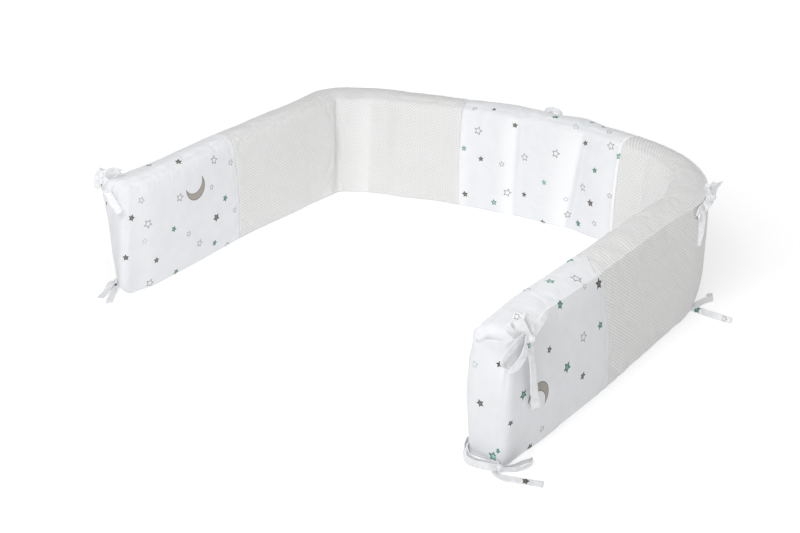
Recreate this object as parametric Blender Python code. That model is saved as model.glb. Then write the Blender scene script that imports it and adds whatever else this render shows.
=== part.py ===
"""Crib bumper: a long padded wall, bent into a U, with cotton ties along its outer edges.

Five stuffed cloth sections are sewn end to end: a printed cotton one at each end, a printed
cotton one in the middle of the back, and a spacer mesh one round each back corner. The wall
stands on its long edge. Metres, +Z up; the open side of the U faces -Y.
"""
import math
from collections import namedtuple
from operator import mul

import bmesh
import bpy
from mathutils import Vector

# The wall's upright section.
TOP_CROWN = 0.004            # the middle of the top stands this much above its edges
INNER_CROWN = 0.005          # swell of the face inside the U
BOTTOM_ROUND = 0.007
INNER_TOP_ROUND = 0.014      # the cloth rolls over this edge without a seam
OUTER_TOP_ROUND = 0.006      # a sewn edge, so a sharper one
FACE_STEPS = 6

# Where the sections meet, and how the wall is sliced along its length.
PIECE_GAP = 0.0003
SEAM_DEPTH = 0.0015
SEAM_WIDTH = 0.006
SLICE = 0.0150
SLICES_AT_A_SEAM = (0.0, 0.003, 0.008)

# The rounded front ends: radius of each edge of the end face.
INNER_END_ROUND = 0.011
OUTER_END_ROUND = 0.005
BOTTOM_END_ROUND = 0.006
END_STEPS = 4
END_CROWN = 0.003

# The centre line, from the front of the left leg round to the front of the right one.
START = (-0.3969, -0.3602)
START_HEADING = 90.7
Run = namedtuple("Run", "name straight turn radius")
RUNS = (
    Run("left leg", 0.540, -58.0, 0.050),
    Run("left corner", 0.030, -17.0, 0.240),
    Run("left of the back", 0.193, -10.0, 0.480),
    Run("middle of the back", 0.105, -7.5, 0.130),
    Run("right of the back", 0.076, -89.2, 0.195),
    Run("right leg", 0.526, 0.0, 1.0),
)

# How the stuffing lies: thickness, shift outward, how far the top leans outward, height, and
# the swell of the face outside the U.
Filling = namedtuple("Filling", "at thick shift lean tall swell")
FILLINGS = (
    Filling(0.00, 0.056, -0.001, 0.000, 0.204, 0.005),
    Filling(0.10, 0.052, -0.002, -0.002, 0.204, 0.006),
    Filling(0.28, 0.049, 0.006, 0.001, 0.204, 0.006),
    Filling(0.45, 0.052, 0.002, 0.002, 0.205, 0.006),
    Filling(0.58, 0.063, 0.000, 0.006, 0.205, 0.003),
    Filling(0.69, 0.062, -0.001, 0.007, 0.206, 0.006),
    Filling(0.80, 0.057, 0.005, 0.003, 0.207, 0.006),
    Filling(0.93, 0.057, 0.000, 0.001, 0.212, 0.006),
    Filling(1.01, 0.054, 0.003, 0.002, 0.210, 0.006),
    Filling(1.06, 0.055, 0.005, 0.002, 0.212, 0.006),
    Filling(1.11, 0.057, 0.000, 0.000, 0.208, 0.006),
    Filling(1.22, 0.060, 0.001, 0.000, 0.205, 0.004),
    Filling(1.31, 0.062, 0.003, -0.002, 0.204, 0.001),
    Filling(1.40, 0.068, 0.004, -0.009, 0.204, 0.002),
    Filling(1.55, 0.065, 0.001, -0.017, 0.204, 0.006),
    Filling(1.75, 0.066, 0.003, -0.019, 0.204, 0.007),
    Filling(1.88, 0.065, 0.001, -0.018, 0.204, 0.007),
    Filling(1.99, 0.062, 0.002, -0.006, 0.204, 0.004),
)

# Folds where the wall bends: depth into the face (negative is a ridge), half width, slant.
Crease = namedtuple("Crease", "at face depth width slant")
CREASES = (
    Crease(0.545, "inner", 0.010, 0.012, 0.012),
    Crease(0.607, "inner", -0.003, 0.016, 0.006),
    Crease(0.680, "inner", 0.005, 0.013, 0.004),
    Crease(0.600, "top", 0.004, 0.014, 0.0),
    Crease(0.918, "inner", -0.005, 0.016, 0.000),
    Crease(0.944, "inner", 0.007, 0.012, 0.006),
    Crease(0.942, "top", 0.006, 0.012, 0.0),
    Crease(1.040, "inner", -0.004, 0.016, 0.006),
    Crease(1.064, "inner", 0.009, 0.010, 0.012),
    Crease(1.066, "top", 0.006, 0.010, 0.0),
    Crease(1.235, "inner", 0.005, 0.011, 0.0),
    Crease(1.360, "inner", 0.005, 0.018, 0.0),
)

# Seams between the sections; the skew is how far the seam runs on at the outer top edge.
Seam = namedtuple("Seam", "at skew")
LEFT_END = Seam(0.0, 0.0)
LEFT_COTTON_SEAM = Seam(0.264, 0.004)
BACK_LEFT_SEAM = Seam(0.833, -0.016)
BACK_RIGHT_SEAM = Seam(1.168, 0.006)
RIGHT_COTTON_SEAM = Seam(1.722, 0.032)
RIGHT_END = Seam(1.996, 0.0)
SEWN_SEAMS = (LEFT_COTTON_SEAM, BACK_LEFT_SEAM, BACK_RIGHT_SEAM, RIGHT_COTTON_SEAM)

COTTON = (0.93, 0.93, 0.94, 1.0)
MESH = (0.90, 0.90, 0.89, 1.0)
Panel = namedtuple("Panel", "name start end colour")
PANELS = (
    Panel("end_panel_left", LEFT_END, LEFT_COTTON_SEAM, COTTON),
    Panel("mesh_panel_left", LEFT_COTTON_SEAM, BACK_LEFT_SEAM, MESH),
    Panel("middle_panel", BACK_LEFT_SEAM, BACK_RIGHT_SEAM, COTTON),
    Panel("mesh_panel_right", BACK_RIGHT_SEAM, RIGHT_COTTON_SEAM, MESH),
    Panel("end_panel_right", RIGHT_COTTON_SEAM, RIGHT_END, COTTON),
)

# Ties: flat straps of folded cotton. Offsets are millimetres right, back and up from the
# place on the wall's outer edge where the tie is sewn on; turn is degrees about the run.
STRAP_WIDTH = 0.0145
STRAP_THICK = 0.0016
STRAP_STEPS = 3
MILLIMETRE = 0.001
Strap = namedtuple("Strap", "name width wide rows")
Knot = namedtuple("Knot", "place radii")
Tie = namedtuple("Tie", "name at edge knot straps")
FLOOR = -2.0                 # a strap lying on the floor, from a lower edge

ACROSS = (1.0, 0.0, 0.0)
BACKWARD = (0.0, 1.0, 0.0)
UPRIGHT = (0.0, 0.0, 1.0)

TIES = (
    Tie("tie_left_end_top", 0.008, "top", Knot((1, -1, 10), (7, 8, 6)), (
        Strap("root", 1.0, BACKWARD, ((1, 0, -4, 0), (1, -1, 3, 0), (1, -1, 10, 0))),
        Strap("loop", 0.9, UPRIGHT, (
            (-2, 1, 12, 0), (-4, 12, 15, 0), (-4, 26, 16, 8), (-1, 35, 16, 10),
            (4, 29, 15, 10), (4, 14, 14, 0), (3, 2, 11, 0))),
        Strap("short end", 0.8, (0.5, -0.8, 0.3), (
            (-1, -2, 11, 0), (-7, -8, 12, 0), (-12, -11, 3, 0), (-12, -11, -9, 0))),
        Strap("tail", 0.85, (0.7, 0.0, 0.7), (
            (2, -3, 9, 0), (5, -15, 3, 20), (16, -21, -12, 0), (32, -20, -27, 0),
            (47, -20, -40, 0))),
    )),
    Tie("tie_left_end_bottom", 0.008, "bottom", Knot((-1, -4, 5), (5.5, 6.5, 5.5)), (
        Strap("root", 0.8, UPRIGHT, ((3, 6, 7, 0), (0, 1, 7, 0), (-1, -4, 6, 0))),
        Strap("left tail", 0.85, (0.95, 0.3, 0.1), (
            (-2, -4, 5, 0), (-2, -16, 6, -15), (5, -34, 0, 0), (12, -52, FLOOR, 0))),
        Strap("right tail", 0.85, (0.9, 0.42, 0.0), (
            (0, -5, 4, 0), (10, -19, 2, 15), (24, -38, FLOOR, 0), (37, -55, FLOOR, 0))),
    )),
    Tie("tie_left_corner_top", 0.570, "top", Knot((-10, 4, -14), (8, 8, 6)), (
        Strap("root", 1.0, BACKWARD, ((3, -1, -10, 0), (-4, 2, -11, 0), (-10, 4, -13, 0))),
        Strap("loop", 0.9, ACROSS, (
            (-11, 7, -11, 0), (-14, 15, -12, 0), (-17, 26, -21, 0), (-17, 25, -32, 0),
            (-15, 14, -26, 0), (-11, 6, -17, 0))),
        Strap("short tail", 0.9, BACKWARD, (
            (-12, 4, -16, 0), (-18, 6, -34, 0), (-19, 10, -64, 0))),
        Strap("long tail", 0.9, BACKWARD, (
            (-9, 2, -16, 0), (-14, -4, -32, 0), (-16, -12, -60, 10), (-18, -16, -90, 25))),
    )),
    Tie("tie_left_corner_bottom", 0.560, "bottom", Knot((-4, 2, 2), (5, 6, 4.5)), (
        Strap("root", 0.8, UPRIGHT, ((4, 0, 5, 0), (0, 1, 5, 0), (-4, 2, 5, 0))),
        Strap("tail", 1.0, (0.3, 0.95, 0.0), (
            (-5, 1, 2, 0), (-16, -1, 0, 0), (-32, -8, FLOOR, 0), (-46, -18, FLOOR, 0))),
        Strap("short tail", 0.9, (-0.8, 0.6, 0.0), (
            (-4, 3, 3, 0), (-12, 14, 1, 0), (-20, 26, FLOOR, 0), (-26, 38, FLOOR, 0))),
    )),
    Tie("tie_back_top", 0.985, "top", Knot((1, 9, -4), (8, 6, 6)), (
        Strap("root", 1.0, ACROSS, ((2, -4, -3, 0), (1, 3, -3, 0), (1, 9, -4, 0))),
        Strap("left loop", 0.8, (0.2, 0.9, 0.5), (
            (-2, 10, -1, 0), (-9, 13, 8, 0), (-18, 14, 14, 0), (-24, 13, 10, 0),
            (-17, 11, 3, 0), (-3, 10, -6, 0))),
        Strap("right loop", 0.8, (0.1, 0.9, 0.5), (
            (4, 10, 0, 0), (11, 13, 10, 0), (18, 14, 15, 0), (22, 13, 9, 0),
            (15, 11, 2, 0), (5, 10, -6, 0))),
        Strap("left tail", 0.9, ACROSS, (
            (-1, 11, -7, 0), (-5, 16, -24, 0), (-9, 18, -50, 0), (-11, 19, -82, 0))),
        Strap("right tail", 0.9, ACROSS, (
            (3, 9, -8, 0), (7, 13, -24, 0), (13, 14, -44, 0), (16, 14, -66, 0))),
    )),
    Tie("tie_back_bottom", 0.985, "bottom", Knot((0, 5, 2), (6, 5, 4.5)), (
        Strap("root", 0.8, UPRIGHT, ((1, -4, 5, 0), (0, 1, 5, 0), (0, 5, 5, 0))),
        Strap("left tail", 1.0, (0.9, 0.3, 0.0), (
            (-1, 6, 2, 0), (-8, 17, 0, 0), (-18, 30, FLOOR, 0), (-26, 44, FLOOR, 0))),
        Strap("right tail", 0.9, (0.7, -0.7, 0.0), (
            (2, 6, 3, 0), (11, 15, 1, 0), (23, 24, FLOOR, 0), (38, 30, FLOOR, 0))),
    )),
    Tie("tie_right_corner_top", 1.396, "top", Knot((13, -9, -3), (8, 10, 8)), (
        Strap("root", 1.0, BACKWARD, ((-5, 0, -4, 0), (4, -3, -3, 0), (12, -8, -3, 0))),
        Strap("upper loop", 0.9, ACROSS, (
            (13, -12, -2, 0), (10, -15, 9, 0), (8, -12, 21, 8), (8, -5, 26, 10),
            (11, -1, 17, 0), (13, -6, 0, 0))),
        Strap("upper end", 0.7, (-0.4, 0.8, 0.4), (
            (15, -8, -2, 0), (20, -6, 11, 0), (25, -4, 26, 30))),
        Strap("lower curl", 0.95, (0.4, 0.5, 0.8), (
            (14, -14, -6, 0), (18, -30, -6, 0), (20, -48, -7, 0), (21, -64, -11, 0),
            (24, -72, -20, 0), (28, -64, -25, 0), (29, -53, -22, 0))),
        Strap("tail", 0.5, (0.2, 1.0, 0.0), (
            (14, -11, -7, 0), (20, -34, -18, 0), (23, -62, -32, 0), (24, -78, -47, 0),
            (25, -82, -58, 0))),
    )),
    Tie("tie_right_corner_bottom", 1.438, "bottom", Knot((3, 4, 2), (5, 7, 4.5)), (
        Strap("root", 0.8, UPRIGHT, ((-4, 2, 5, 0), (0, 3, 5, 0), (3, 4, 5, 0))),
        Strap("tail", 0.8, BACKWARD, (
            (4, 3, 1, 0), (16, 1, FLOOR, 0), (44, 1, FLOOR, 0), (73, 2, FLOOR, 0))),
        Strap("curl", 0.75, (-0.3, 0.2, 0.9), (
            (3, 6, 3, 0), (6, 20, 3, 0), (10, 38, 3, 0), (16, 52, 3, 0),
            (12, 58, 3, 0), (7, 51, 3, 0))),
    )),
    Tie("tie_right_end_top", 1.975, "top", Knot((10, 13, 4), (10, 10, 7)), (
        Strap("root", 1.0, (0.3, -0.8, 0.5), ((-3, -1, -3, 0), (4, 5, 1, 0), (9, 12, 3, 0))),
        Strap("upper loop", 1.0, (0.6, 0.8, 0.0), (
            (8, 15, 8, 0), (-2, 24, 16, 0), (-16, 34, 19, 0), (-23, 38, 15, 0),
            (-15, 32, 10, 0), (-1, 22, 9, 0), (7, 14, 3, 0))),
        Strap("back loop", 0.95, ACROSS, (
            (11, 16, 6, 0), (13, 30, 13, 0), (12, 46, 19, 35), (11, 56, 20, 55),
            (10, 45, 13, 35), (11, 28, 6, 0), (11, 16, 1, 0))),
        Strap("front loop", 0.95, (-0.15, -0.65, 0.72), (
            (14, 10, 1, 0), (18, -2, -12, 0), (16, -13, -27, 0), (8, -22, -35, 0),
            (1, -25, -26, 0), (4, -21, -12, 0), (8, -9, 0, 0), (9, 6, 6, 0))),
        Strap("tail", 0.95, BACKWARD, (
            (12, 15, 0, 0), (17, 14, -16, 0), (19, 19, -50, 0), (19, 26, -86, 10),
            (18, 36, -120, 40))),
    )),
    Tie("tie_right_end_bottom", 1.975, "bottom", Knot((-2, -25, 3), (7, 6, 5.5)), (
        Strap("root", 0.6, UPRIGHT, (
            (-4, -6, 3, 0), (-3, -13, 3, 0), (-2, -20, 3, 0), (-2, -24, 3, 0))),
        Strap("left loop", 0.8, UPRIGHT, (
            (-4, -27, 4, 0), (-20, -34, 4, 0), (-38, -39, 4, 0), (-53, -34, 4, 0),
            (-64, -20, 5, 0), (-71, -3, 6, 0), (-66, -3, 6, 0), (-59, -19, 5, 0),
            (-49, -29, 4, 0), (-37, -33, 4, 0), (-21, -28, 4, 0), (-5, -21, 4, 0))),
        Strap("right loop", 0.7, (0.3, -0.2, 0.93), (
            (0, -22, 3, 0), (9, -11, 3, 0), (16, 5, 3, 0), (22, 18, 3, 0),
            (26, 9, 3, 0), (20, -10, 3, 0), (1, -27, 3, 0))),
        Strap("tail", 0.9, (-0.25, 0.97, 0.0), (
            (-3, -28, 2, 0), (-2, -36, 0, -20), (12, -34, FLOOR, 0), (32, -26, FLOOR, 0),
            (48, -19, FLOOR, 0), (61, -14, FLOOR, 0))),
    )),
)


def centre_line():
    """The pieces of the centre line: (start distance, length, place, heading, turn)."""
    pieces = []
    place = Vector((START[0], START[1], 0.0))
    heading = math.radians(START_HEADING)
    at = 0.0
    for run in RUNS:
        turn = math.radians(run.turn)
        for length, swing in ((run.straight, 0.0), (abs(turn) * run.radius, turn)):
            if length == 0.0:
                continue
            pieces.append((at, length, place.copy(), heading, swing))
            place = place + travel(length, heading, swing)
            heading += swing
            at += length
    return pieces


def travel(length, heading, swing):
    """The step taken along a straight, or along an arc that swings the heading."""
    if swing == 0.0:
        return length * Vector((math.cos(heading), math.sin(heading), 0.0))
    chord = 2.0 * length / swing * math.sin(swing / 2.0)
    middle = heading + swing / 2.0
    return chord * Vector((math.cos(middle), math.sin(middle), 0.0))


CENTRE_LINE = centre_line()


def station(at):
    """Place on the centre line, and the directions along it and out of the U."""
    piece = [p for p in CENTRE_LINE if p[0] <= at or p[0] == 0.0][-1]
    start, length, place, heading, swing = piece
    part = (at - start) / length
    if swing and 0.0 <= part <= 1.0:
        place = place + travel(at - start, heading, swing * part)
        heading += swing * part
    else:
        place = place + travel(at - start, heading, 0.0)
    along = Vector((math.cos(heading), math.sin(heading), 0.0))
    return place, along, Vector((-along.y, along.x, 0.0))


def filling(at):
    """All but the first column of the fillings there, eased between the rows."""
    if at <= FILLINGS[0].at:
        return FILLINGS[0][1:]
    for here, there in zip(FILLINGS, FILLINGS[1:]):
        if at <= there.at:
            part = (at - here.at) / (there.at - here.at)
            ease = part * part * (3.0 - 2.0 * part)
            return tuple(a + (b - a) * ease for a, b in zip(here[1:], there[1:]))
    return FILLINGS[-1][1:]


def bell(distance, width):
    return math.exp(-(distance / width) ** 2)


def half_profile(side, half, high, crown):
    """One side of the section, from the floor up: distance from the middle, and height."""
    top_round = OUTER_TOP_ROUND if side > 0 else INNER_TOP_ROUND
    shoulder = high - TOP_CROWN
    points = []
    for degrees in (0.0, 45.0, 90.0):
        angle = math.radians(degrees)
        points.append((half - BOTTOM_ROUND * (1.0 - math.sin(angle)),
                       BOTTOM_ROUND * (1.0 - math.cos(angle))))
    for step in range(1, FACE_STEPS):
        part = step / FACE_STEPS
        points.append((half + crown * math.sin(math.pi * part),
                       BOTTOM_ROUND + part * (shoulder - top_round - BOTTOM_ROUND)))
    for degrees in (0.0, 30.0, 60.0, 90.0):
        angle = math.radians(degrees)
        points.append((half - top_round * (1.0 - math.cos(angle)),
                       shoulder - top_round * (1.0 - math.sin(angle))))
    points.append((0.4 * (half - top_round), high - 0.1 * TOP_CROWN))
    return points


HALF_COUNT = len(half_profile(1, 0.03, 0.2, 0.0))
RING_COUNT = 2 * HALF_COUNT
OUTER_TOP_EDGE = RING_COUNT - HALF_COUNT + 3      # ring places of the two outer edges
OUTER_BOTTOM_EDGE = RING_COUNT - 2


def side_and_row(index):
    """Which half profile a ring place is on, and its row there; rings run inner, then outer."""
    if index < HALF_COUNT:
        return -1, index
    return 1, RING_COUNT - 1 - index


def section_point(index, at, grow):
    """A ring place in its upright section: distance out from the centre line, and height."""
    side, row = side_and_row(index)
    thick, shift, lean, tall, swell = filling(at)
    pinch = sum(SEAM_DEPTH * bell(at - seam.at, SEAM_WIDTH) for seam in SEWN_SEAMS)
    half = 0.5 * thick - pinch + grow
    crown = swell if side > 0 else INNER_CROWN
    across, up = half_profile(side, half, tall - pinch + grow, crown)[row]
    level = up / tall
    rise = math.sin(math.pi * min(1.0, max(0.0, level)))
    for crease in CREASES:
        depth = crease.depth * bell(at - crease.at - crease.slant * (level - 0.5), crease.width)
        if crease.face == "top":
            up -= depth * level ** 8 * (1.0 - max(0.0, side * across / half))
        elif (crease.face == "inner") == (side < 0):
            across -= depth * math.sqrt(rise)
    return side * across + shift + lean * (level - 0.5), up


def wall_point(index, at, grow=0.0, inset=0.0):
    """A ring place in the room, drawn in towards the middle of its section by the inset."""
    out, up = section_point(index, at, grow)
    if inset:
        before = section_point((index - 1) % RING_COUNT, at, grow)
        after = section_point((index + 1) % RING_COUNT, at, grow)
        run = Vector((after[0] - before[0], after[1] - before[1])).normalized()
        out += inset * run.y
        up -= inset * run.x
    place, _, outward = station(at)
    return place + out * outward + Vector((0.0, 0.0, up))


def skewed(seam, index):
    """Distance along at which the seam crosses a ring place."""
    side, row = side_and_row(index)
    if side < 0:
        share = 0.0
    elif row <= HALF_COUNT - 2:
        share = row / (HALF_COUNT - 2)
    else:
        share = 0.35
    return seam.at + seam.skew * share


def end_round(index):
    side, row = side_and_row(index)
    if row < 3:
        return BOTTOM_END_ROUND if side < 0 else OUTER_END_ROUND
    return INNER_END_ROUND if side < 0 else OUTER_END_ROUND


def slices(length):
    """Shares of a section's length at which it is sliced, closer together at its seams."""
    near = [distance / length for distance in SLICES_AT_A_SEAM]
    count = math.ceil((length - 2 * SLICES_AT_A_SEAM[-1]) / SLICE)
    first, last = near[-1], 1.0 - near[-1]
    middle = [first + (last - first) * step / count for step in range(1, count)]
    return near + middle + [1.0 - share for share in reversed(near)]


def end_rings(limit, toward, grow):
    """Rings that round a front end off; toward is +1 at the wall's far end, -1 at its start."""
    rings = []
    for step in range(1, END_STEPS + 1):
        angle = 0.5 * math.pi * step / END_STEPS
        ring = []
        for index in range(RING_COUNT):
            radius = end_round(index)
            at = limit + toward * (grow - radius * (1.0 - math.sin(angle)))
            ring.append(wall_point(index, at, grow, radius * (1.0 - math.cos(angle))))
        rings.append(ring)
    return rings


def wall_rings(start, end, grow=0.0):
    """Rings of points along a stretch of the wall, ready to be skinned."""
    rounded_start = start is LEFT_END
    rounded_end = end is RIGHT_END
    rings = []
    for share in slices(end.at - start.at):
        ring = []
        for index in range(RING_COUNT):
            first = skewed(start, index) + 0.5 * PIECE_GAP
            last = skewed(end, index) - 0.5 * PIECE_GAP
            if rounded_start:
                first = start.at + end_round(index)
            if rounded_end:
                last = end.at - end_round(index)
            ring.append(wall_point(index, first + share * (last - first), grow))
        rings.append(ring)
    if rounded_start:
        rings = end_rings(start.at, -1.0, grow)[::-1] + rings
    if rounded_end:
        rings = rings + end_rings(end.at, 1.0, grow)
    return rings


def skin(rings, crowned_start, crowned_end):
    """A closed mesh over the rings; a crowned end swells a little past its last ring."""
    shape = bmesh.new()
    loops = [[shape.verts.new(point) for point in ring] for ring in rings]
    for here, there in zip(loops, loops[1:]):
        for index in range(len(here)):
            following = (index + 1) % len(here)
            shape.faces.new((here[index], here[following], there[following], there[index]))
    close_end(shape, loops[0], loops[1], crowned_start)
    close_end(shape, loops[-1], loops[-2], crowned_end)
    bmesh.ops.recalc_face_normals(shape, faces=shape.faces)
    return shape


def close_end(shape, loop, next_loop, crowned):
    """Rungs across from the inner half of the ring to its outer half, split into triangles."""
    count = len(loop) // 2
    outward = (loop[0].co - next_loop[0].co).normalized()
    rungs = []
    for row in range(count):
        left, right = loop[row], loop[-1 - row]
        rung = [left, right]
        if crowned and 0 < row < count - 1:
            swell = END_CROWN * math.sin(math.pi * row / (count - 1)) * outward
            middle = [shape.verts.new(left.co.lerp(right.co, part) + swell) for part in (0.33, 0.67)]
            rung = [left, *middle, right]
        rungs.append(rung)
    for lower, upper in zip(rungs, rungs[1:]):
        fill_between(shape, lower, upper)


def fill_between(shape, lower, upper):
    """Triangles between two rungs, which may have different numbers of points."""
    low, high = 0, 0
    while low < len(lower) - 1 or high < len(upper) - 1:
        step_low = (low + 1) / (len(lower) - 1) if low < len(lower) - 1 else 2.0
        step_high = (high + 1) / (len(upper) - 1) if high < len(upper) - 1 else 2.0
        if step_low <= step_high:
            shape.faces.new((lower[low], lower[low + 1], upper[high]))
            low += 1
        else:
            shape.faces.new((lower[low], upper[high + 1], upper[high]))
            high += 1


def smooth_rows(rows):
    """Catmull-Rom points through a strap's rows, each with its turn as a fourth number."""
    points = []
    for index in range(len(rows) - 1):
        p0 = rows[max(index - 1, 0)]
        p1, p2 = rows[index], rows[index + 1]
        p3 = rows[min(index + 2, len(rows) - 1)]
        for step in range(STRAP_STEPS):
            t = step / STRAP_STEPS
            points.append(tuple(
                0.5 * (2 * b + (c - a) * t + (2 * a - 5 * b + 4 * c - d) * t * t
                       + (3 * b - a - 3 * c + d) * t ** 3)
                for a, b, c, d in zip(p0, p1, p2, p3)))
    points.append(rows[-1])
    return points


def off_the_floor(points):
    """The points lifted together until none of them is below the floor."""
    lift = max(0.0, -min(point.z for point in points))
    return [point + Vector((0.0, 0.0, lift)) for point in points]


def strap_mesh(strap, root):
    """A flat strap along its rows: four corners at each point, and closed ends."""
    rows = smooth_rows(strap.rows)
    places = [root + MILLIMETRE * Vector(row[:3]) for row in rows]
    reference = Vector(strap.wide)
    shape = bmesh.new()
    loops = []
    for index, place in enumerate(places):
        ahead = places[min(index + 1, len(places) - 1)]
        behind = places[max(index - 1, 0)]
        run = (ahead - behind).normalized()
        wide = (reference - reference.dot(run) * run).normalized()
        flat = run.cross(wide)
        turn = math.radians(rows[index][3])
        wide, flat = (math.cos(turn) * wide + math.sin(turn) * flat,
                      math.cos(turn) * flat - math.sin(turn) * wide)
        wide = 0.5 * strap.width * STRAP_WIDTH * wide
        flat = 0.5 * STRAP_THICK * flat
        corners = [place + corner for corner in
                   (wide + flat, flat - wide, -wide - flat, wide - flat)]
        loops.append([shape.verts.new(corner) for corner in off_the_floor(corners)])
    for here, there in zip(loops, loops[1:]):
        for corner in range(4):
            following = (corner + 1) % 4
            shape.faces.new((here[corner], here[following], there[following], there[corner]))
    shape.faces.new(loops[0])
    shape.faces.new(loops[-1])
    bmesh.ops.recalc_face_normals(shape, faces=shape.faces)
    return shape


def knot_mesh(knot, root):
    """The pulled-tight knot: a small flattened ball."""
    shape = bmesh.new()
    bmesh.ops.create_uvsphere(shape, u_segments=10, v_segments=6, radius=1.0)
    middle = root + MILLIMETRE * Vector(knot.place)
    places = [middle + MILLIMETRE * Vector(map(mul, knot.radii, vertex.co))
              for vertex in shape.verts]
    for vertex, place in zip(shape.verts, off_the_floor(places)):
        vertex.co = place
    return shape


def material(name, colour):
    made = bpy.data.materials.new(name)
    made.use_nodes = True
    shader = made.node_tree.nodes["Principled BSDF"]
    shader.inputs["Base Color"].default_value = colour
    shader.inputs["Roughness"].default_value = 0.9
    shader.inputs["Metallic"].default_value = 0.0
    return made


def add_object(name, shape, colour=None):
    """An object from a bmesh, with its own material if it is to be seen."""
    mesh = bpy.data.meshes.new(name)
    shape.to_mesh(mesh)
    shape.free()
    made = bpy.data.objects.new(name, mesh)
    bpy.context.collection.objects.link(made)
    if colour:
        mesh.materials.append(material(name + "_cloth", colour))
    return made


def combine(base, other, operation):
    """Fold another object into the base with an exact Boolean, and remove that object."""
    modifier = base.modifiers.new("combine", "BOOLEAN")
    modifier.operation = operation
    modifier.solver = "EXACT"
    modifier.object = other
    graph = bpy.context.evaluated_depsgraph_get()
    result = bpy.data.meshes.new_from_object(base.evaluated_get(graph))
    base.modifiers.remove(modifier)
    base.data = result
    bpy.data.objects.remove(other)


def panel_shape(panel, grow=0.0):
    """One section of the wall, larger all round by the growth."""
    rings = wall_rings(panel.start, panel.end, grow)
    return skin(rings, panel.start is LEFT_END, panel.end is RIGHT_END)


def add_panel(panel):
    made = add_object(panel.name, panel_shape(panel), panel.colour)
    made.data.shade_smooth()
    return made


def add_tie(tie):
    """A tie's knot with its straps, trimmed to lie just off the wall."""
    edge = OUTER_TOP_EDGE if tie.edge == "top" else OUTER_BOTTOM_EDGE
    root = wall_point(edge, tie.at)
    made = add_object(tie.name, knot_mesh(tie.knot, root), COTTON)
    for strap in tie.straps:
        other = add_object(strap.name, strap_mesh(strap, root))
        combine(made, other, "UNION")
    panel = [panel for panel in PANELS if panel.start.at <= tie.at][-1]
    cutter = add_object("cutter", panel_shape(panel, PIECE_GAP))
    combine(made, cutter, "DIFFERENCE")
    return made


def build():
    for old in list(bpy.data.objects):
        bpy.data.objects.remove(old)
    for panel in PANELS:
        add_panel(panel)
    for tie in TIES:
        add_tie(tie)


build()
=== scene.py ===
"""Crib bumper: a long stuffed wall, bent into a U, with cotton ties along its outer edges."""

import math
import random
from collections import namedtuple

import bmesh
import bpy
from mathutils import Euler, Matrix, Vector, noise


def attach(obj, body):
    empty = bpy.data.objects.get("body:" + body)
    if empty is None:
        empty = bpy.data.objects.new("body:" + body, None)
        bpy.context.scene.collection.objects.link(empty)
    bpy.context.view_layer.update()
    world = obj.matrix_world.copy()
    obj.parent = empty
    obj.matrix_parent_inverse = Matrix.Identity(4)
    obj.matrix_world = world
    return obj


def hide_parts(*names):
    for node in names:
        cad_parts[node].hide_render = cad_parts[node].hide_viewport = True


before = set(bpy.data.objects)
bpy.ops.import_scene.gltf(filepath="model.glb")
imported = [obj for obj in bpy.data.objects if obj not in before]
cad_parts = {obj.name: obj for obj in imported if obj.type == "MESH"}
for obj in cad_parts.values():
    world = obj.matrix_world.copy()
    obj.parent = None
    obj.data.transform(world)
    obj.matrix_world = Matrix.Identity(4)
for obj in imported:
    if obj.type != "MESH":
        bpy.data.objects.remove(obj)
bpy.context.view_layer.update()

# ---------------------------------------------------------------- the stuffed wall
# Five sections of wadding in a cloth cover, sewn end to end and stood on their long edge.
# The cover goes over the inner top edge in one piece and is closed by a seam along the outer
# top edge; the wall is soft, so it folds inside wherever it is bent.

EVEN_HALF = 0.029            # half the thickness, and the height, of an evenly filled section
EVEN_TALL = 0.205
TOP_CROWN = 0.004
INNER_CROWN = 0.005
BOTTOM_ROUND = 0.007
INNER_TOP_ROUND = 0.014
OUTER_TOP_ROUND = 0.006
UNDERSIDE = (0.34, 0.68)
BOTTOM_STEPS = 4             # faces round each edge, up each side and over half the top
FACE_STEPS = 30
EDGE_STEPS = 6
TOP_STEPS = 4
SLICE = 0.0040

PIECE_GAP = 0.0001
SEAM_DEPTH = 0.0006
SEAM_WIDTH = 0.003
INNER_END_ROUND = 0.011
OUTER_END_ROUND = 0.013
BOTTOM_END_ROUND = 0.006
TOP_END_ROUND = 0.022
END_STEPS = 7
END_CROWN = 0.003
END_FACE_LAID = 0.030        # the end face's own piece of cloth starts this far on in the UV map
END_ACROSS = 12
END_PULL = {-1: -0.013, 1: 0.018}     # how far its tie pulls back an end's outer top corner
PULLED_PART = 0.40           # and how far down the outer edge that reaches
PULL_BLUNT = 0.08
LEFT_AHEAD = 0.024           # how far the left end's inner side stands ahead of its outer side
END_TUCK = 0.022             # and how far its inner bottom corner is drawn in
TUCK_HIGH = 0.030

START = (-0.3969, -0.3602)
START_HEADING = 90.7
Run = namedtuple("Run", "straight turn radius")
RUNS = (
    Run(0.540, -58.0, 0.050),
    Run(0.030, -17.0, 0.240),
    Run(0.193, -10.0, 0.480),
    Run(0.105, -7.5, 0.130),
    Run(0.076, -89.2, 0.195),
    Run(0.526, 0.0, 1.0),
)

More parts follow.
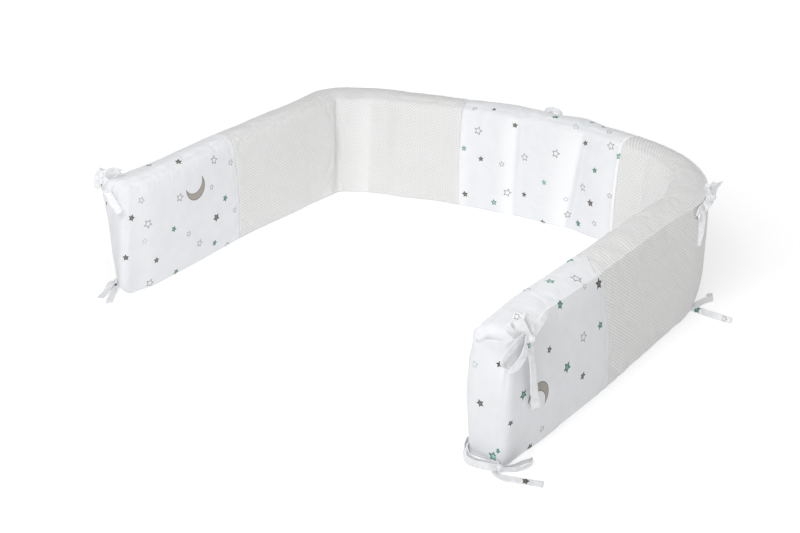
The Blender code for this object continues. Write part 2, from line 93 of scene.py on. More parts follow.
# How the stuffing lies, in millimetres: distance along the wall, thickness, shift outward,
# lean of the top, height, outer swell.
Filling = namedtuple("Filling", "at thick shift lean tall swell")
FILLINGS = [Filling(*(value / 1000 for value in row)) for row in (
    (0, 47, 3.5, 0, 204, 5), (50, 54, -1, -1, 204, 5), (100, 52, -2, -2, 204, 6),
    (280, 49, 6, 1, 204, 6), (450, 52, 2, 2, 205, 6), (580, 63, 0, 6, 205, 3),
    (690, 62, -1, 7, 206, 6), (800, 57, 5, 3, 207, 6), (930, 57, 0, 1, 212, 6),
    (1010, 54, 3, 2, 210, 6), (1060, 55, 5, 2, 212, 6), (1110, 57, 0, 0, 208, 6),
    (1220, 60, 1, 0, 205, 4), (1310, 62, 3, -2, 204, 1), (1400, 68, 4, -9, 204, 2),
    (1550, 65, 1, -17, 204, 6), (1750, 66, 3, -19, 204, 7), (1880, 65, 1, -18, 204, 7),
    (1990, 62, 2, -6, 204, 4),
)]

# Folds where the wall bends: depth into the face (negative is a ridge), half width, slant.
Crease = namedtuple("Crease", "at face depth width slant")
CREASES = (
    Crease(0.545, "inner", 0.010, 0.012, 0.012),
    Crease(0.607, "inner", -0.003, 0.016, 0.006),
    Crease(0.680, "inner", 0.005, 0.013, 0.004),
    Crease(0.600, "top", 0.004, 0.014, 0.0),
    Crease(0.922, "inner", -0.005, 0.018, 0.010),
    Crease(0.950, "top", 0.006, 0.011, 0.0),
    Crease(1.036, "inner", -0.006, 0.022, 0.014),
    Crease(1.076, "top", 0.006, 0.009, 0.0),
    Crease(1.235, "inner", 0.005, 0.011, 0.0),
    Crease(1.360, "inner", 0.005, 0.018, 0.0),
)

# Sharp folds of the inner face: steep before the fold, and long and low after it.
Fold = namedtuple("Fold", "at depth before after slant")
FOLDS = (
    Fold(0.957, 0.011, 0.009, 0.042, 0.002),
    Fold(1.080, 0.015, 0.008, 0.046, 0.026),
)
FOLD_BLUNT = 0.0012

# Where the outer face is drawn in above the floor: reach along, depth and height.
Tuck = namedtuple("Tuck", "at width depth high")
TUCKS = (Tuck(1.385, 0.060, 0.010, 0.055),)

# Seams between the sections; the skew is how far the seam runs on at the outer top edge, and
# most of it is lost again over the outer half of the top.
SKEW_LOST = 0.65
Seam = namedtuple("Seam", "at skew")
LEFT_END = Seam(0.0, 0.0)
LEFT_COTTON_SEAM = Seam(0.264, 0.004)
BACK_LEFT_SEAM = Seam(0.833, -0.016)
BACK_RIGHT_SEAM = Seam(1.168, 0.006)
RIGHT_COTTON_SEAM = Seam(1.722, 0.032)
RIGHT_END = Seam(1.996, 0.0)
SEWN_SEAMS = (LEFT_COTTON_SEAM, BACK_LEFT_SEAM, BACK_RIGHT_SEAM, RIGHT_COTTON_SEAM)

# Each section, and the place along it from which its cloth is laid both ways.
Section = namedtuple("Section", "name start end laid_from cloth")
SECTIONS = (
    Section("end_panel_left", LEFT_END, LEFT_COTTON_SEAM, 0.00, "printed_cotton"),
    Section("mesh_panel_left", LEFT_COTTON_SEAM, BACK_LEFT_SEAM, 0.57, "spacer_mesh"),
    Section("middle_panel", BACK_LEFT_SEAM, BACK_RIGHT_SEAM, 1.00, "printed_cotton"),
    Section("mesh_panel_right", BACK_RIGHT_SEAM, RIGHT_COTTON_SEAM, 1.32, "spacer_mesh"),
    Section("end_panel_right", RIGHT_COTTON_SEAM, RIGHT_END, 1.80, "printed_cotton"),
)


def travel(length, heading, swing):
    """The step taken along a straight, or along an arc that swings the heading."""
    if swing == 0.0:
        return length * Vector((math.cos(heading), math.sin(heading), 0.0))
    chord = 2.0 * length / swing * math.sin(swing / 2.0)
    middle = heading + swing / 2.0
    return chord * Vector((math.cos(middle), math.sin(middle), 0.0))


def centre_line():
    """The pieces of the centre line: start distance, length, place, heading and turn."""
    pieces = []
    place = Vector((*START, 0.0))
    heading = math.radians(START_HEADING)
    at = 0.0
    for run in RUNS:
        turn = math.radians(run.turn)
        for length, swing in ((run.straight, 0.0), (abs(turn) * run.radius, turn)):
            if length:
                pieces.append((at, length, place, heading, swing))
                place = place + travel(length, heading, swing)
                heading += swing
                at += length
    return pieces


CENTRE_LINE = centre_line()


def station(at):
    """Place on the centre line, and the direction out of the U."""
    pieces = [piece for piece in CENTRE_LINE if piece[0] <= at or piece[0] == 0.0]
    start, length, place, heading, swing = pieces[-1]
    part = (at - start) / length
    turned = swing * part if 0.0 <= part <= 1.0 else 0.0
    place = place + travel(at - start, heading, turned)
    heading += turned
    return place, Vector((-math.sin(heading), math.cos(heading), 0.0))


def filling(at):
    """The fillings there, eased between the rows."""
    if at <= FILLINGS[0].at:
        return FILLINGS[0][1:]
    for here, there in zip(FILLINGS, FILLINGS[1:]):
        if at <= there.at:
            part = (at - here.at) / (there.at - here.at)
            ease = part * part * (3.0 - 2.0 * part)
            return tuple(a + (b - a) * ease for a, b in zip(here[1:], there[1:]))
    return FILLINGS[-1][1:]


def bell(distance, width):
    return math.exp(-(distance / width) ** 2)


def half_profile(side, half, high, crown):
    """One side of the section, from the floor up: distance from the middle, and height."""
    top_round = OUTER_TOP_ROUND if side > 0 else INNER_TOP_ROUND
    shoulder = high - TOP_CROWN
    points = [(share * half, 0.0) for share in UNDERSIDE]
    for step in range(BOTTOM_STEPS + 1):
        angle = 0.5 * math.pi * step / BOTTOM_STEPS
        points.append((half - BOTTOM_ROUND * (1.0 - math.sin(angle)),
                       BOTTOM_ROUND * (1.0 - math.cos(angle))))
    for step in range(1, FACE_STEPS):
        part = step / FACE_STEPS
        points.append((half + crown * math.sin(math.pi * part),
                       BOTTOM_ROUND + part * (shoulder - top_round - BOTTOM_ROUND)))
    for step in range(EDGE_STEPS + 1):
        angle = 0.5 * math.pi * step / EDGE_STEPS
        points.append((half - top_round * (1.0 - math.cos(angle)),
                       shoulder - top_round * (1.0 - math.sin(angle))))
    for step in range(1, TOP_STEPS):
        share = 1.0 - step / TOP_STEPS
        points.append((share * (half - top_round), high - TOP_CROWN * share ** 2.5))
    return points


HALF_COUNT = len(half_profile(1, EVEN_HALF, EVEN_TALL, 0.0))
RING_COUNT = 2 * HALF_COUNT
FIRST_SIDE_ROW = len(UNDERSIDE) + BOTTOM_STEPS
FIRST_TOP_ROW = FIRST_SIDE_ROW + FACE_STEPS
LAST_EDGE_ROW = FIRST_TOP_ROW + EDGE_STEPS
OUTER_EDGE = RING_COUNT - 1 - FIRST_TOP_ROW


def side_and_row(index):
    """Which half profile a ring place is on, and its row; rings run inner, then outer."""
    if index < HALF_COUNT:
        return -1, index
    return 1, RING_COUNT - 1 - index


def round_the_cloth():
    """Distance round the cloth to each ring place, on an evenly filled section."""
    sides = {side: half_profile(side, EVEN_HALF, EVEN_TALL, INNER_CROWN) for side in (-1, 1)}
    ring = [(side * sides[side][row][0], sides[side][row][1])
            for side, row in map(side_and_row, range(RING_COUNT))]
    distances = [0.0]
    for here, there in zip(ring, ring[1:] + ring[:1]):
        distances.append(distances[-1] + math.dist(here, there))
    return distances


AROUND = round_the_cloth()


def folded(fold, at, level):
    """How deep a fold is there."""
    gap = at - fold.at - fold.slant * (level - 0.5)
    reach = fold.before if gap < 0.0 else fold.after
    return fold.depth * math.exp((FOLD_BLUNT - math.hypot(gap, FOLD_BLUNT)) / reach)


def section_point(index, at):
    """A ring place in its upright section: distance out from the centre line, and height."""
    side, row = side_and_row(index)
    thick, shift, lean, tall, swell = filling(at)
    pinch = sum(SEAM_DEPTH * bell(at - seam.at, SEAM_WIDTH) for seam in SEWN_SEAMS)
    half = 0.5 * thick - pinch
    crown = swell if side > 0 else INNER_CROWN
    across, up = half_profile(side, half, tall - pinch, crown)[row]
    level = up / tall
    rise = math.sin(math.pi * min(1.0, max(0.0, level)))
    for crease in CREASES:
        depth = crease.depth * bell(at - crease.at - crease.slant * (level - 0.5), crease.width)
        if crease.face == "top":
            up -= depth * level ** 8 * (1.0 - max(0.0, side * across / half))
        elif (crease.face == "inner") == (side < 0):
            across -= depth * math.sqrt(rise)
    if side < 0:
        across -= sum(folded(fold, at, level) for fold in FOLDS) * rise ** 0.25
    else:
        for tuck in TUCKS:
            low = max(0.0, 1.0 - up / tuck.high)
            across -= tuck.depth * low ** 2 * bell(at - tuck.at, tuck.width)
    return side * across + shift + lean * (level - 0.5), up


def wall_point(index, at, inset=0.0):
    """A ring place in the room, drawn in towards the middle of its section by the inset."""
    out, up = section_point(index, at)
    if inset:
        before = section_point((index - 1) % RING_COUNT, at)
        after = section_point((index + 1) % RING_COUNT, at)
        run = Vector((after[0] - before[0], after[1] - before[1])).normalized()
        out += inset * run.y
        up -= inset * run.x
    place, outward = station(at)
    return place + out * outward + Vector((0.0, 0.0, up))


def skewed(seam, index):
    """Distance along at which the seam crosses a ring place."""
    side, row = side_and_row(index)
    if side < 0:
        return seam.at
    if row <= LAST_EDGE_ROW:
        return seam.at + seam.skew * row / LAST_EDGE_ROW
    return seam.at + seam.skew * (1.0 - SKEW_LOST * (row - LAST_EDGE_ROW) / TOP_STEPS)


def end_round(index):
    """How far a front end is rounded off there: most along its top."""
    side, row = side_and_row(index)
    if row < FIRST_SIDE_ROW:
        return BOTTOM_END_ROUND if side < 0 else OUTER_END_ROUND
    plain = INNER_END_ROUND if side < 0 else OUTER_END_ROUND
    first = FIRST_TOP_ROW - 6 if side < 0 else FIRST_TOP_ROW
    part = min(1.0, max(0.0, (row - first) / (HALF_COUNT - 1 - first)))
    return plain + (TOP_END_ROUND - plain) * part * (2.0 - part)


def upright(index):
    """A ring place's share across the wall, 0 on its inner side, and its share of the height."""
    side, row = side_and_row(index)
    across, up = half_profile(side, EVEN_HALF, EVEN_TALL, 0.0)[row]
    return 0.5 + 0.5 * side * min(1.0, across / EVEN_HALF), up / EVEN_TALL


def drawn_in(across, level, toward):
    """How far an end is drawn back there, by its tie above and by its seam below."""
    pull = max(0.0, 1.0 - (1.0 - level) / PULLED_PART - (1.0 - across))
    drawn = END_PULL[toward] * pull * pull / (pull + PULL_BLUNT)
    if toward < 0:
        low = max(0.0, 1.0 - EVEN_TALL * level / TUCK_HIGH)
        drawn += END_TUCK * low ** 2 * (1.0 - across) ** 2
        drawn -= LEFT_AHEAD * (1.0 - across) * (1.0 - level)
    return drawn


def end_rings(limit, toward):
    """Rings that round a front end off; toward is +1 at the wall's far end, -1 at its start."""
    rings = []
    for step in range(1, END_STEPS + 1):
        angle = 0.5 * math.pi * step / END_STEPS
        ring = []
        for index in range(RING_COUNT):
            radius = end_round(index)
            back = radius * (1.0 - math.sin(angle)) + drawn_in(*upright(index), toward)
            at = limit - toward * back
            ring.append((wall_point(index, at, radius * (1.0 - math.cos(angle))), at))
        rings.append(ring)
    return rings


def section_rings(section):
    """Rings of (place, distance along) over a section of the wall."""
    start, end = section.start, section.end
    count = math.ceil((end.at - start.at) / SLICE)
    rings = []
    for step in range(count + 1):
        ring = []
        for index in range(RING_COUNT):
            first = skewed(start, index) + 0.5 * PIECE_GAP
            last = skewed(end, index) - 0.5 * PIECE_GAP
            if start is LEFT_END:
                first = start.at + end_round(index) + drawn_in(*upright(index), -1)
            if end is RIGHT_END:
                last = end.at - end_round(index) - drawn_in(*upright(index), 1)
            at = first + step / count * (last - first)
            ring.append((wall_point(index, at), at))
        rings.append(ring)
    if start is LEFT_END:
        rings = end_rings(start.at, -1)[::-1] + rings
    if end is RIGHT_END:
        rings = rings + end_rings(end.at, 1)
    return rings


def laid_along(rings, laid_from):
    """For each ring place, how far along the cloth it is, measured on the cloth itself."""
    middle = min(range(len(rings)), key=lambda r: abs(rings[r][0][1] - laid_from))
    laid = [[0.0] * RING_COUNT for _ in rings]
    laid[middle] = [at for _, at in rings[middle]]
    for toward, stop in ((1, len(rings)), (-1, -1)):
        for ring in range(middle + toward, stop, toward):
            for index in range(RING_COUNT):
                step = rings[ring][index][0] - rings[ring - toward][index][0]
                laid[ring][index] = laid[ring - toward][index] + toward * step.length
    return laid


# Painted highlights: bands of the inner face painted whiter beside the crests of its folds, where
# the light catches them: distance along, reach before and after, slant, and a share of the full
# effect.
Tight = namedtuple("Tight", "at before after slant share")
PAINTED_HIGHLIGHTS = (
    Tight(0.635, 0.026, 0.008, 0.006, 0.8),
    Tight(0.836, 0.010, 0.016, 0.000, 0.5),
    Tight(0.947, 0.022, 0.003, 0.001, 1.0),
    Tight(1.070, 0.036, 0.003, 0.026, 1.0),
    Tight(1.150, 0.014, 0.010, 0.000, 0.3),
)


def highlight_share(index, at):
    """How strong the painted highlight is there: on the inner side alone, and fading towards the
    top.
    """
    level = upright(index)[1]
    whole = 0.0
    for tight in PAINTED_HIGHLIGHTS if index < HALF_COUNT else ():
        gap = at - tight.at - tight.slant * (level - 0.5)
        whole += tight.share * bell(gap, tight.before if gap < 0.0 else tight.after)
    return min(1.0, whole * (1.0 - level ** 12))


# The cover is let out by the push of the wadding: a short cloth simulation, held where the
# cloth is sewn, folded or stood on, and no point moving further than the cap.
SIM_STEPS = 20
SIM_CAP = 0.0011
COVER_CLOTH = {
    "vertex_group_mass": "holds", "pin_stiffness": 1.0, "mass": 0.2, "quality": 6,
    "tension_stiffness": 20.0, "compression_stiffness": 12.0, "bending_stiffness": 0.15,
    "use_pressure": True, "uniform_pressure_force": 3.0, "shrink_min": -0.03,
}
FAR_FROM_SEAM = 0.2
STOOD_ON = 0.004             # cloth below this is held by the floor

# How firmly the cloth is held: on the wadding alone, along the outer and inner top edges, and
# in creases and folds, and how wide the last two and a seam reach.
HELD_FREE = 0.06
HELD_TOP = {1: 0.9, -1: 0.35}
HELD_CREASE = 0.85
HELD_FOLD = 0.95
CREASE_REACH = 1.5
FOLD_REACH = 0.024
SEAM_REACH = 0.006


def hold(index, at, place, from_seam):
    """How firmly the wadding, the seams, the folds and the floor hold the cloth there."""
    side, row = side_and_row(index)
    firm = [HELD_FREE, 1.0 if place.z < STOOD_ON else 0.0, bell(from_seam, SEAM_REACH)]
    if FIRST_TOP_ROW <= row <= LAST_EDGE_ROW:
        firm[:2] = [HELD_TOP[side]]
    firm += [HELD_CREASE * bell(at - crease.at, CREASE_REACH * crease.width)
             for crease in CREASES if (crease.face == "outer") == (side > 0)]
    if side < 0:
        firm += [HELD_FOLD * bell(at - fold.at, FOLD_REACH) for fold in FOLDS]
    return min(1.0, max(firm))


def close_end(shape, layer, loop, marks, outward, crowned):
    """The end face: rungs across from the inner half of the ring to its outer half."""
    toward, at = marks
    rungs = []
    for row in range(HALF_COUNT):
        left, right = loop[row], loop[-1 - row]
        middle = []
        if crowned and 0 < row < HALF_COUNT - 1:
            swell = END_CROWN * math.sin(math.pi * row / (HALF_COUNT - 1))
            inner, level = upright(row)
            outer, _ = upright(RING_COUNT - 1 - row)
            for step in range(1, END_ACROSS):
                share = step / END_ACROSS
                bulge = swell * math.sin(math.pi * share) ** 0.5
                bulge -= drawn_in(inner + share * (outer - inner), level, toward)
                bulge += (1.0 - share) * drawn_in(inner, level, toward)
                bulge += share * drawn_in(outer, level, toward)
                middle.append(shape.verts.new(left.co.lerp(right.co, share) + bulge * outward))
        rungs.append([left, *middle, right])
    halfway = rungs[HALF_COUNT // 2]
    across_way = (halfway[-1].co - halfway[0].co).to_2d().normalized()
    for lower, upper in zip(rungs, rungs[1:]):
        few, many = sorted((lower, upper), key=len)
        steps = range(len(many) - 1)
        if len(few) == len(many):
            made = [(few[step], few[step + 1], many[step + 1], many[step]) for step in steps]
        else:
            half = len(many) // 2
            made = [(few[step >= half], many[step + 1], many[step]) for step in steps]
            made.append((few[0], few[1], many[half]))
        for corners in made:
            face = shape.faces.new(corners if few is lower else corners[::-1])
            for corner in face.loops:
                beyond = (corner.vert.co - halfway[0].co).to_2d().dot(across_way)
                corner[layer].uv = (at + toward * (END_FACE_LAID + beyond), corner.vert.co.z)


def skin(shape, loops, mark):
    """Faces between each closed loop of vertices and the next; mark sets a corner's layers."""
    around = len(loops[0])
    for ring in range(len(loops) - 1):
        for index in range(around):
            after = (index + 1) % around
            face = shape.faces.new((loops[ring][index], loops[ring][after],
                                    loops[ring + 1][after], loops[ring + 1][index]))
            spots = ((ring, index), (ring, index + 1), (ring + 1, index + 1), (ring + 1, index))
            for corner, spot in zip(face.loops, spots):
                mark(corner, ring, *spot)


def finished(shape, name):
    """The closed shape as a mesh, with its faces outward."""
    bmesh.ops.recalc_face_normals(shape, faces=shape.faces)
    mesh = bpy.data.meshes.new(name)
    shape.to_mesh(mesh)
    shape.free()
    return mesh


def section_mesh(section):
    """The section's cloth as one closed mesh, with its lay on the cloth as a UV map."""
    rings = section_rings(section)
    laid = laid_along(rings, section.laid_from)
    shape = bmesh.new()
    layer = shape.loops.layers.uv.new("cloth")
    sharp = shape.edges.layers.float.new("crease_edge")
    from_seam, turned, tight, held = [
        shape.verts.layers.float.new(name) for name in ("from_seam", "turned", "tight", "held")]
    loops = []
    for ring, marks in enumerate(rings):
        loop = []
        for index, (place, at) in enumerate(marks):
            vertex = shape.verts.new(place)
            behind = laid[ring][index] - laid[0][index]
            ahead = laid[-1][index] - laid[ring][index]
            nearest = min(FAR_FROM_SEAM, behind if section.start in SEWN_SEAMS else FAR_FROM_SEAM,
                          ahead if section.end in SEWN_SEAMS else FAR_FROM_SEAM)
            vertex[from_seam] = nearest
            # painted highlight: how much whiter the cloth is painted here beside a fold's crest
            vertex[tight] = highlight_share(index, at)
            vertex[turned] = ahead if section.end is BACK_RIGHT_SEAM else FAR_FROM_SEAM
            vertex[held] = hold(index, at, place, nearest)
            loop.append(vertex)
        loops.append(loop)

    def lay(corner, _, ring, index):
        corner[layer].uv = (laid[ring][index % RING_COUNT], AROUND[index])

    skin(shape, loops, lay)
    for end, beyond, toward, seam in ((0, 1, -1, section.start), (-1, -2, 1, section.end)):
        outward = (loops[end][0].co - loops[beyond][0].co).normalized()
        close_end(shape, layer, loops[end], (toward, laid[end][HALF_COUNT // 2]), outward,
                  seam not in SEWN_SEAMS)
        if seam in SEWN_SEAMS:
            for here, there in zip(loops[end], loops[end][1:] + loops[end][:1]):
                shape.edges.get((here, there))[sharp] = 1.0
    for vertex in shape.verts:
        if vertex[from_seam] == 0.0 and vertex[held] == 0.0:
            vertex[from_seam] = vertex[turned] = FAR_FROM_SEAM
    return finished(shape, section.name + "_cloth")


def linked(name, data):
    made = bpy.data.objects.new(name, data)
    bpy.context.scene.collection.objects.link(made)
    return made


def seen(made):
    """The object with its modifiers worked out."""
    return made.evaluated_get(bpy.context.evaluated_depsgraph_get())


def plain_mesh(made):
    """Apply the object's modifiers, so that its mesh is what is seen."""
    result = bpy.data.meshes.new_from_object(seen(made))
    made.modifiers.clear()
    made.data = result


def marked(mesh, name):
    """The values of a named attribute of the mesh."""
    return [mark.value for mark in mesh.attributes[name].data]


def let_out(made):
    """Swell the cover between its holds by simulation; holds are weights from 0 to 1."""
    group = made.vertex_groups.new(name="holds")
    for index, weight in enumerate(marked(made.data, "held")):
        group.add([index], weight, "REPLACE")
    cloth = made.modifiers.new("wadding", "CLOTH")
    for name, value in COVER_CLOTH.items():
        setattr(cloth.settings, name, value)
    cloth.settings.effector_weights.gravity = 0.0
    cloth.collision_settings.use_collision = False
    cloth.collision_settings.use_self_collision = False
    cloth.point_cache.frame_start = 1
    cloth.point_cache.frame_end = SIM_STEPS
    before = [vertex.co.copy() for vertex in made.data.vertices]
    for step in range(1, SIM_STEPS + 1):
        bpy.context.scene.frame_set(step)
    after = [vertex.co.copy() for vertex in seen(made).data.vertices]
    made.modifiers.clear()
    made.vertex_groups.clear()
    bpy.context.scene.frame_set(1)
    for vertex, old, new in zip(made.data.vertices, before, after):
        moved = new - old
        if moved.length > SIM_CAP:
            moved *= SIM_CAP / moved.length
        vertex.co = old + moved
        vertex.co.z = max(0.0, vertex.co.z)


# Wrinkles that the photograph shows, each along a line between two places, in millimetres,
# with its half width and its height; a negative height is a valley.
Wrinkle = namedtuple("Wrinkle", "first last width height")
WRINKLES = [Wrinkle(*row) for row in (
    ((-404, -355, 200), (-378, -343, 196), 2.5, 1.6),
    ((-405, -362, 192), (-376, -336, 194), 3, -1.8),
    ((-403, -350, 203), (-392, -325, 203), 4, -1.8),
    ((-402, -364, 182), (-380, -342, 180), 3, 1.2),
    ((-379, -319, 199), (-373, -346, 164), 6, -0.7), ((-100, 288, 98), (-99, 292, 12), 6, -0.8),
    ((-76, 297, 194), (-63, 292, 137), 8, 0.6), ((48, 319, 197), (48, 312, 140), 8, -0.6),
    ((30, 311, 63), (39, 316, 12), 8, 0.7), ((159, 316, 187), (153, 312, 138), 7, 0.8),
    ((115, 339, 207), (121, 315, 158), 7, -0.7), ((332, -361, 198), (359, -374, 178), 6, -1.2),
    ((359, -374, 178), (378, -375, 149), 5, -3.0), ((335, -349, 200), (379, -369, 171), 7, 1.4),
    ((382, -372, 156), (385, -378, 128), 2.4, -2.0),
    ((385, -378, 125), (380, -380, 63), 2.4, -1.5),
    ((380, -380, 63), (378, -380, 21), 2.4, -2.0), ((378, -380, 21), (383, -379, 7), 2.4, -1.5),
    ((348, -379, 4), (376, -379, 7), 2.5, -1.0), ((348, -380, 15), (380, -380, 18), 3, 0.9),
    ((367, -380, 41), (380, -380, 20), 4, 0.8), ((337, -379, 180), (339, -380, 94), 6, 0.6),
    ((355, 28, 204), (353, 86, 204), 2.2, -1.7), ((353, 86, 204), (359, 158, 204), 2.2, -1.7),
    ((359, 158, 204), (366, 210, 203), 2.2, -1.5), ((393, -352, 101), (393, -360, 41), 6, 0.8),
    ((389, -249, 161), (396, -216, 123), 9, 0.6), ((395, -325, 55), (399, -252, 51), 8, -0.5),
    ((225, 309, 183), (230, 305, 120), 5, -1.5), ((256, 291, 191), (270, 278, 162), 6, 1.0),
    ((362, -90, 203), (357, -145, 203), 3, -0.5),
)]
TURNED_HIGH = 0.0010         # the turned edge of the middle section's cotton, at its right seam
TURNED_WIDE = 0.0055
TURNED_STEP = 0.0015
WELT_HIGH = 0.0012
WELT_WIDE = 0.0014
WELT_AROUND = AROUND[OUTER_EDGE - EDGE_STEPS // 2]
TOP_REACH = 0.030            # how far down the outer face the pull of the top seam shows
UNEVEN = ((0.0008, 18.0), (0.0004, 55.0))       # height and fineness of the uneven wadding
SEAM_RUCK = 0.000525         # puckers along a seam and along the welt, and how far they reach
SEAM_RUCK_WIDE = 0.010
WELT_RUCK = 0.00056
WELT_RUCK_WIDE = 0.009


def wrinkled(made):
    """Fine relief: uneven wadding, wrinkles, the sewn edge's welt, and puckers at seams."""
    mesh = made.data
    from_seam, turned = marked(mesh, "from_seam"), marked(mesh, "turned")
    moves = []
    places = [vertex.co.copy() for vertex in mesh.vertices]
    for index, (place, mark) in enumerate(zip(places, lay_of(mesh))):
        move = sum(high * noise.noise(fine * place) for high, fine in UNEVEN)
        if mark.y < AROUND[OUTER_EDGE] + TOP_REACH:
            welt = mark.y - WELT_AROUND
            ruck = noise.noise(Vector((230.0 * mark.x, 40.0 * mark.y, 0.0)))
            move += WELT_HIGH * bell(welt, WELT_WIDE)
            move += WELT_RUCK * ruck * bell(welt, WELT_RUCK_WIDE)
        ruck = noise.noise(Vector((40.0 * mark.x, 190.0 * mark.y, 7.0)))
        move += SEAM_RUCK * ruck * bell(from_seam[index], SEAM_RUCK_WIDE)
        move += TURNED_HIGH * min(1.0, max(0.0, (TURNED_WIDE - turned[index]) / TURNED_STEP))
        moves.append(move if place.z > 0.003 else 0.0)
    for wrinkle in WRINKLES:
        first, last = (0.001 * Vector(end) for end in (wrinkle.first, wrinkle.last))
        run = last - first
        wide, high = 0.001 * wrinkle.width, 0.001 * wrinkle.height
        for index, place in enumerate(places):
            if (place - first).length > run.length + 3 * wide + 0.010:
                continue
            share = min(1.0, max(0.0, (place - first).dot(run) / run.length_squared))
            beside = (place - first - share * run).length
            fade = math.sin(math.pi * (0.12 + 0.76 * share))
            if place.z > 0.001:
                moves[index] += high * fade * bell(beside, wide)
    normals = [Vector() for _ in places]
    for face in mesh.polygons:
        if any(from_seam[corner] > 0.0 for corner in face.vertices):
            for corner in face.vertices:
                normals[corner] += face.area * face.normal
    for vertex, place, normal, move in zip(mesh.vertices, places, normals, moves):
        vertex.co = place + move * normal.normalized()
        vertex.co.z = max(0.0, vertex.co.z)


def lay_of(mesh):
    """Each vertex's place on the cloth, from the UV map."""
    lay = [None] * len(mesh.vertices)
    marks = mesh.uv_layers["cloth"].data
    for corner in mesh.loops:
        if lay[corner.vertex_index] is None:
            lay[corner.vertex_index] = marks[corner.index].uv.copy()
    return lay


def stuffed(section):
    """A section's cover, swollen by its wadding, smoothed and wrinkled."""
    made = linked(section.name + "_cover", section_mesh(section))
    let_out(made)
    smooth = made.modifiers.new("smooth", "SUBSURF")
    smooth.levels = 1
    smooth.render_levels = 1
    plain_mesh(made)
    wrinkled(made)
    made.data.shade_smooth()
    return made


covers = {section.name: stuffed(section) for section in SECTIONS}


# ---------------------------------------------------------------- cotton and its print
# White plain-woven cotton covers both ends and the middle of the back. It is printed all
# over with small stars, some filled green or grey-brown and some in outline, and a moon.


class Wire:
    """A socket of a node tree; sums on wires add the nodes that work them out."""

    def __init__(self, tree, socket=None):
        self.tree = tree
        self.socket = socket

    def node(self, kind, settings=(), values=(), out=0):
        """A node of that type, its settings made first and then its sockets set or linked."""
        made = self.tree.nodes.new(kind)
        for name, value in dict(settings).items():
            setattr(made, name, value)
        for name, value in dict(values).items():
            if isinstance(value, Wire):
                self.tree.links.new(value.socket, made.inputs[name])
            else:
                made.inputs[name].default_value = value
        return Wire(self.tree, made.outputs[out])

    def sum(self, operation, *others):
        return self.node("ShaderNodeMath", {"operation": operation}, enumerate((self, *others)))

    def __add__(self, other):
        return self.sum("ADD", other)

    def __sub__(self, other):
        return self.sum("SUBTRACT", other)

    def __mul__(self, other):
        return self.sum("MULTIPLY", other)

    def __rsub__(self, other):
        return self.node("ShaderNodeMath", {"operation": "SUBTRACT"}, {0: other, 1: self})

    def part(self, low, high):
        """0 below the low value, 1 above the high one, eased between them."""
        return self.node("ShaderNodeMapRange", {"interpolation_type": "SMOOTHSTEP"},
                         {"Value": self, "From Min": low, "From Max": high})

    def mix(self, first, second):
        """The first colour where this is 0 and the second where it is 1."""
        made = self.tree.nodes.new("ShaderNodeMix")
        made.data_type = "RGBA"
        self.tree.links.new(self.socket, made.inputs["Factor"])
        for name, value in (("A", first), ("B", second)):
            socket = [s for s in made.inputs if s.name == name and s.type == "RGBA"][0]
            if isinstance(value, Wire):
                self.tree.links.new(value.socket, socket)
            else:
                socket.default_value = (*value, 1.0)
        return Wire(self.tree, [s for s in made.outputs if s.type == "RGBA"][0])


    def axis(self, name):
        return self.node("ShaderNodeSeparateXYZ", (), {0: self}, name)

    def attribute(self, name, out="Fac"):
        return self.node("ShaderNodeAttribute", {"attribute_name": name}, (), out)

    def cloudy(self, scale, detail):
        """Soft noise through the object's own space."""
        place = self.node("ShaderNodeTexCoord", out="Object")
        values = {"Vector": place, "Scale": scale, "Detail": detail}
        return self.node("ShaderNodeTexNoise", (), values)

    def feed(self, name):
        """Join this to a socket of the material's Principled shader."""
        principled = self.tree.nodes["Principled BSDF"]
        self.tree.links.new(self.socket, principled.inputs[name])

    def bump(self, strength, distance):
        """Give the material's surface this relief."""
        values = {"Height": self, "Strength": strength, "Distance": distance}
        self.node("ShaderNodeBump", (), values).feed("Normal")


def shader(name, roughness, sheen, **constants):
    """A new material with its constants on its Principled shader, and its start wire."""
    made = bpy.data.materials.new(name)
    made.use_nodes = True
    constants = {"Roughness": roughness, "Sheen Weight": sheen, "Specular IOR Level": 0.2,
                 **constants}
    for socket, value in constants.items():
        made.node_tree.nodes["Principled BSDF"].inputs[socket].default_value = value
    return made, Wire(made.node_tree)


def on_the_cloth(wire):
    """Wires of the distance along the cloth and round it, in metres."""
    marks = wire.node("ShaderNodeUVMap", {"uv_map": "cloth"})
    return marks.axis("X"), marks.axis("Y")


COTTON_WHITE = (0.775, 0.785, 0.805)
COTTON_SHADE = (0.755, 0.765, 0.785)
# painted highlight: the whiter colour of the folds' crests and of the doubled turned edge
COTTON_HIGHLIGHT = (0.880, 0.885, 0.895)
THREADS_A_METRE = 2400.0
STAR_WAIST = 0.50            # where the points of a star meet, as a share of its radius
MOON_BITE = (0.50, 0.91)     # offset and radius of the round taken out of the moon

# The inks of each kind of figure: the fill, none for an outline, and the line round it.
Ink = namedtuple("Ink", "fill line rim")
INKS = {
    "green": Ink((0.13, 0.41, 0.30), (0.045, 0.10, 0.082), 0.20),
    "mint": Ink((0.33, 0.64, 0.52), (0.085, 0.21, 0.17), 0.20),
    "taupe": Ink((0.24, 0.21, 0.19), (0.075, 0.065, 0.062), 0.22),
    "brown": Ink((0.15, 0.125, 0.105), (0.05, 0.043, 0.04), 0.20),
    "outline": Ink(None, (0.285, 0.285, 0.30), 0.15),
    "pale": Ink(None, (0.42, 0.58, 0.54), 0.15),
    "moon": Ink((0.365, 0.335, 0.295), (0.16, 0.145, 0.13), 0.050),
}

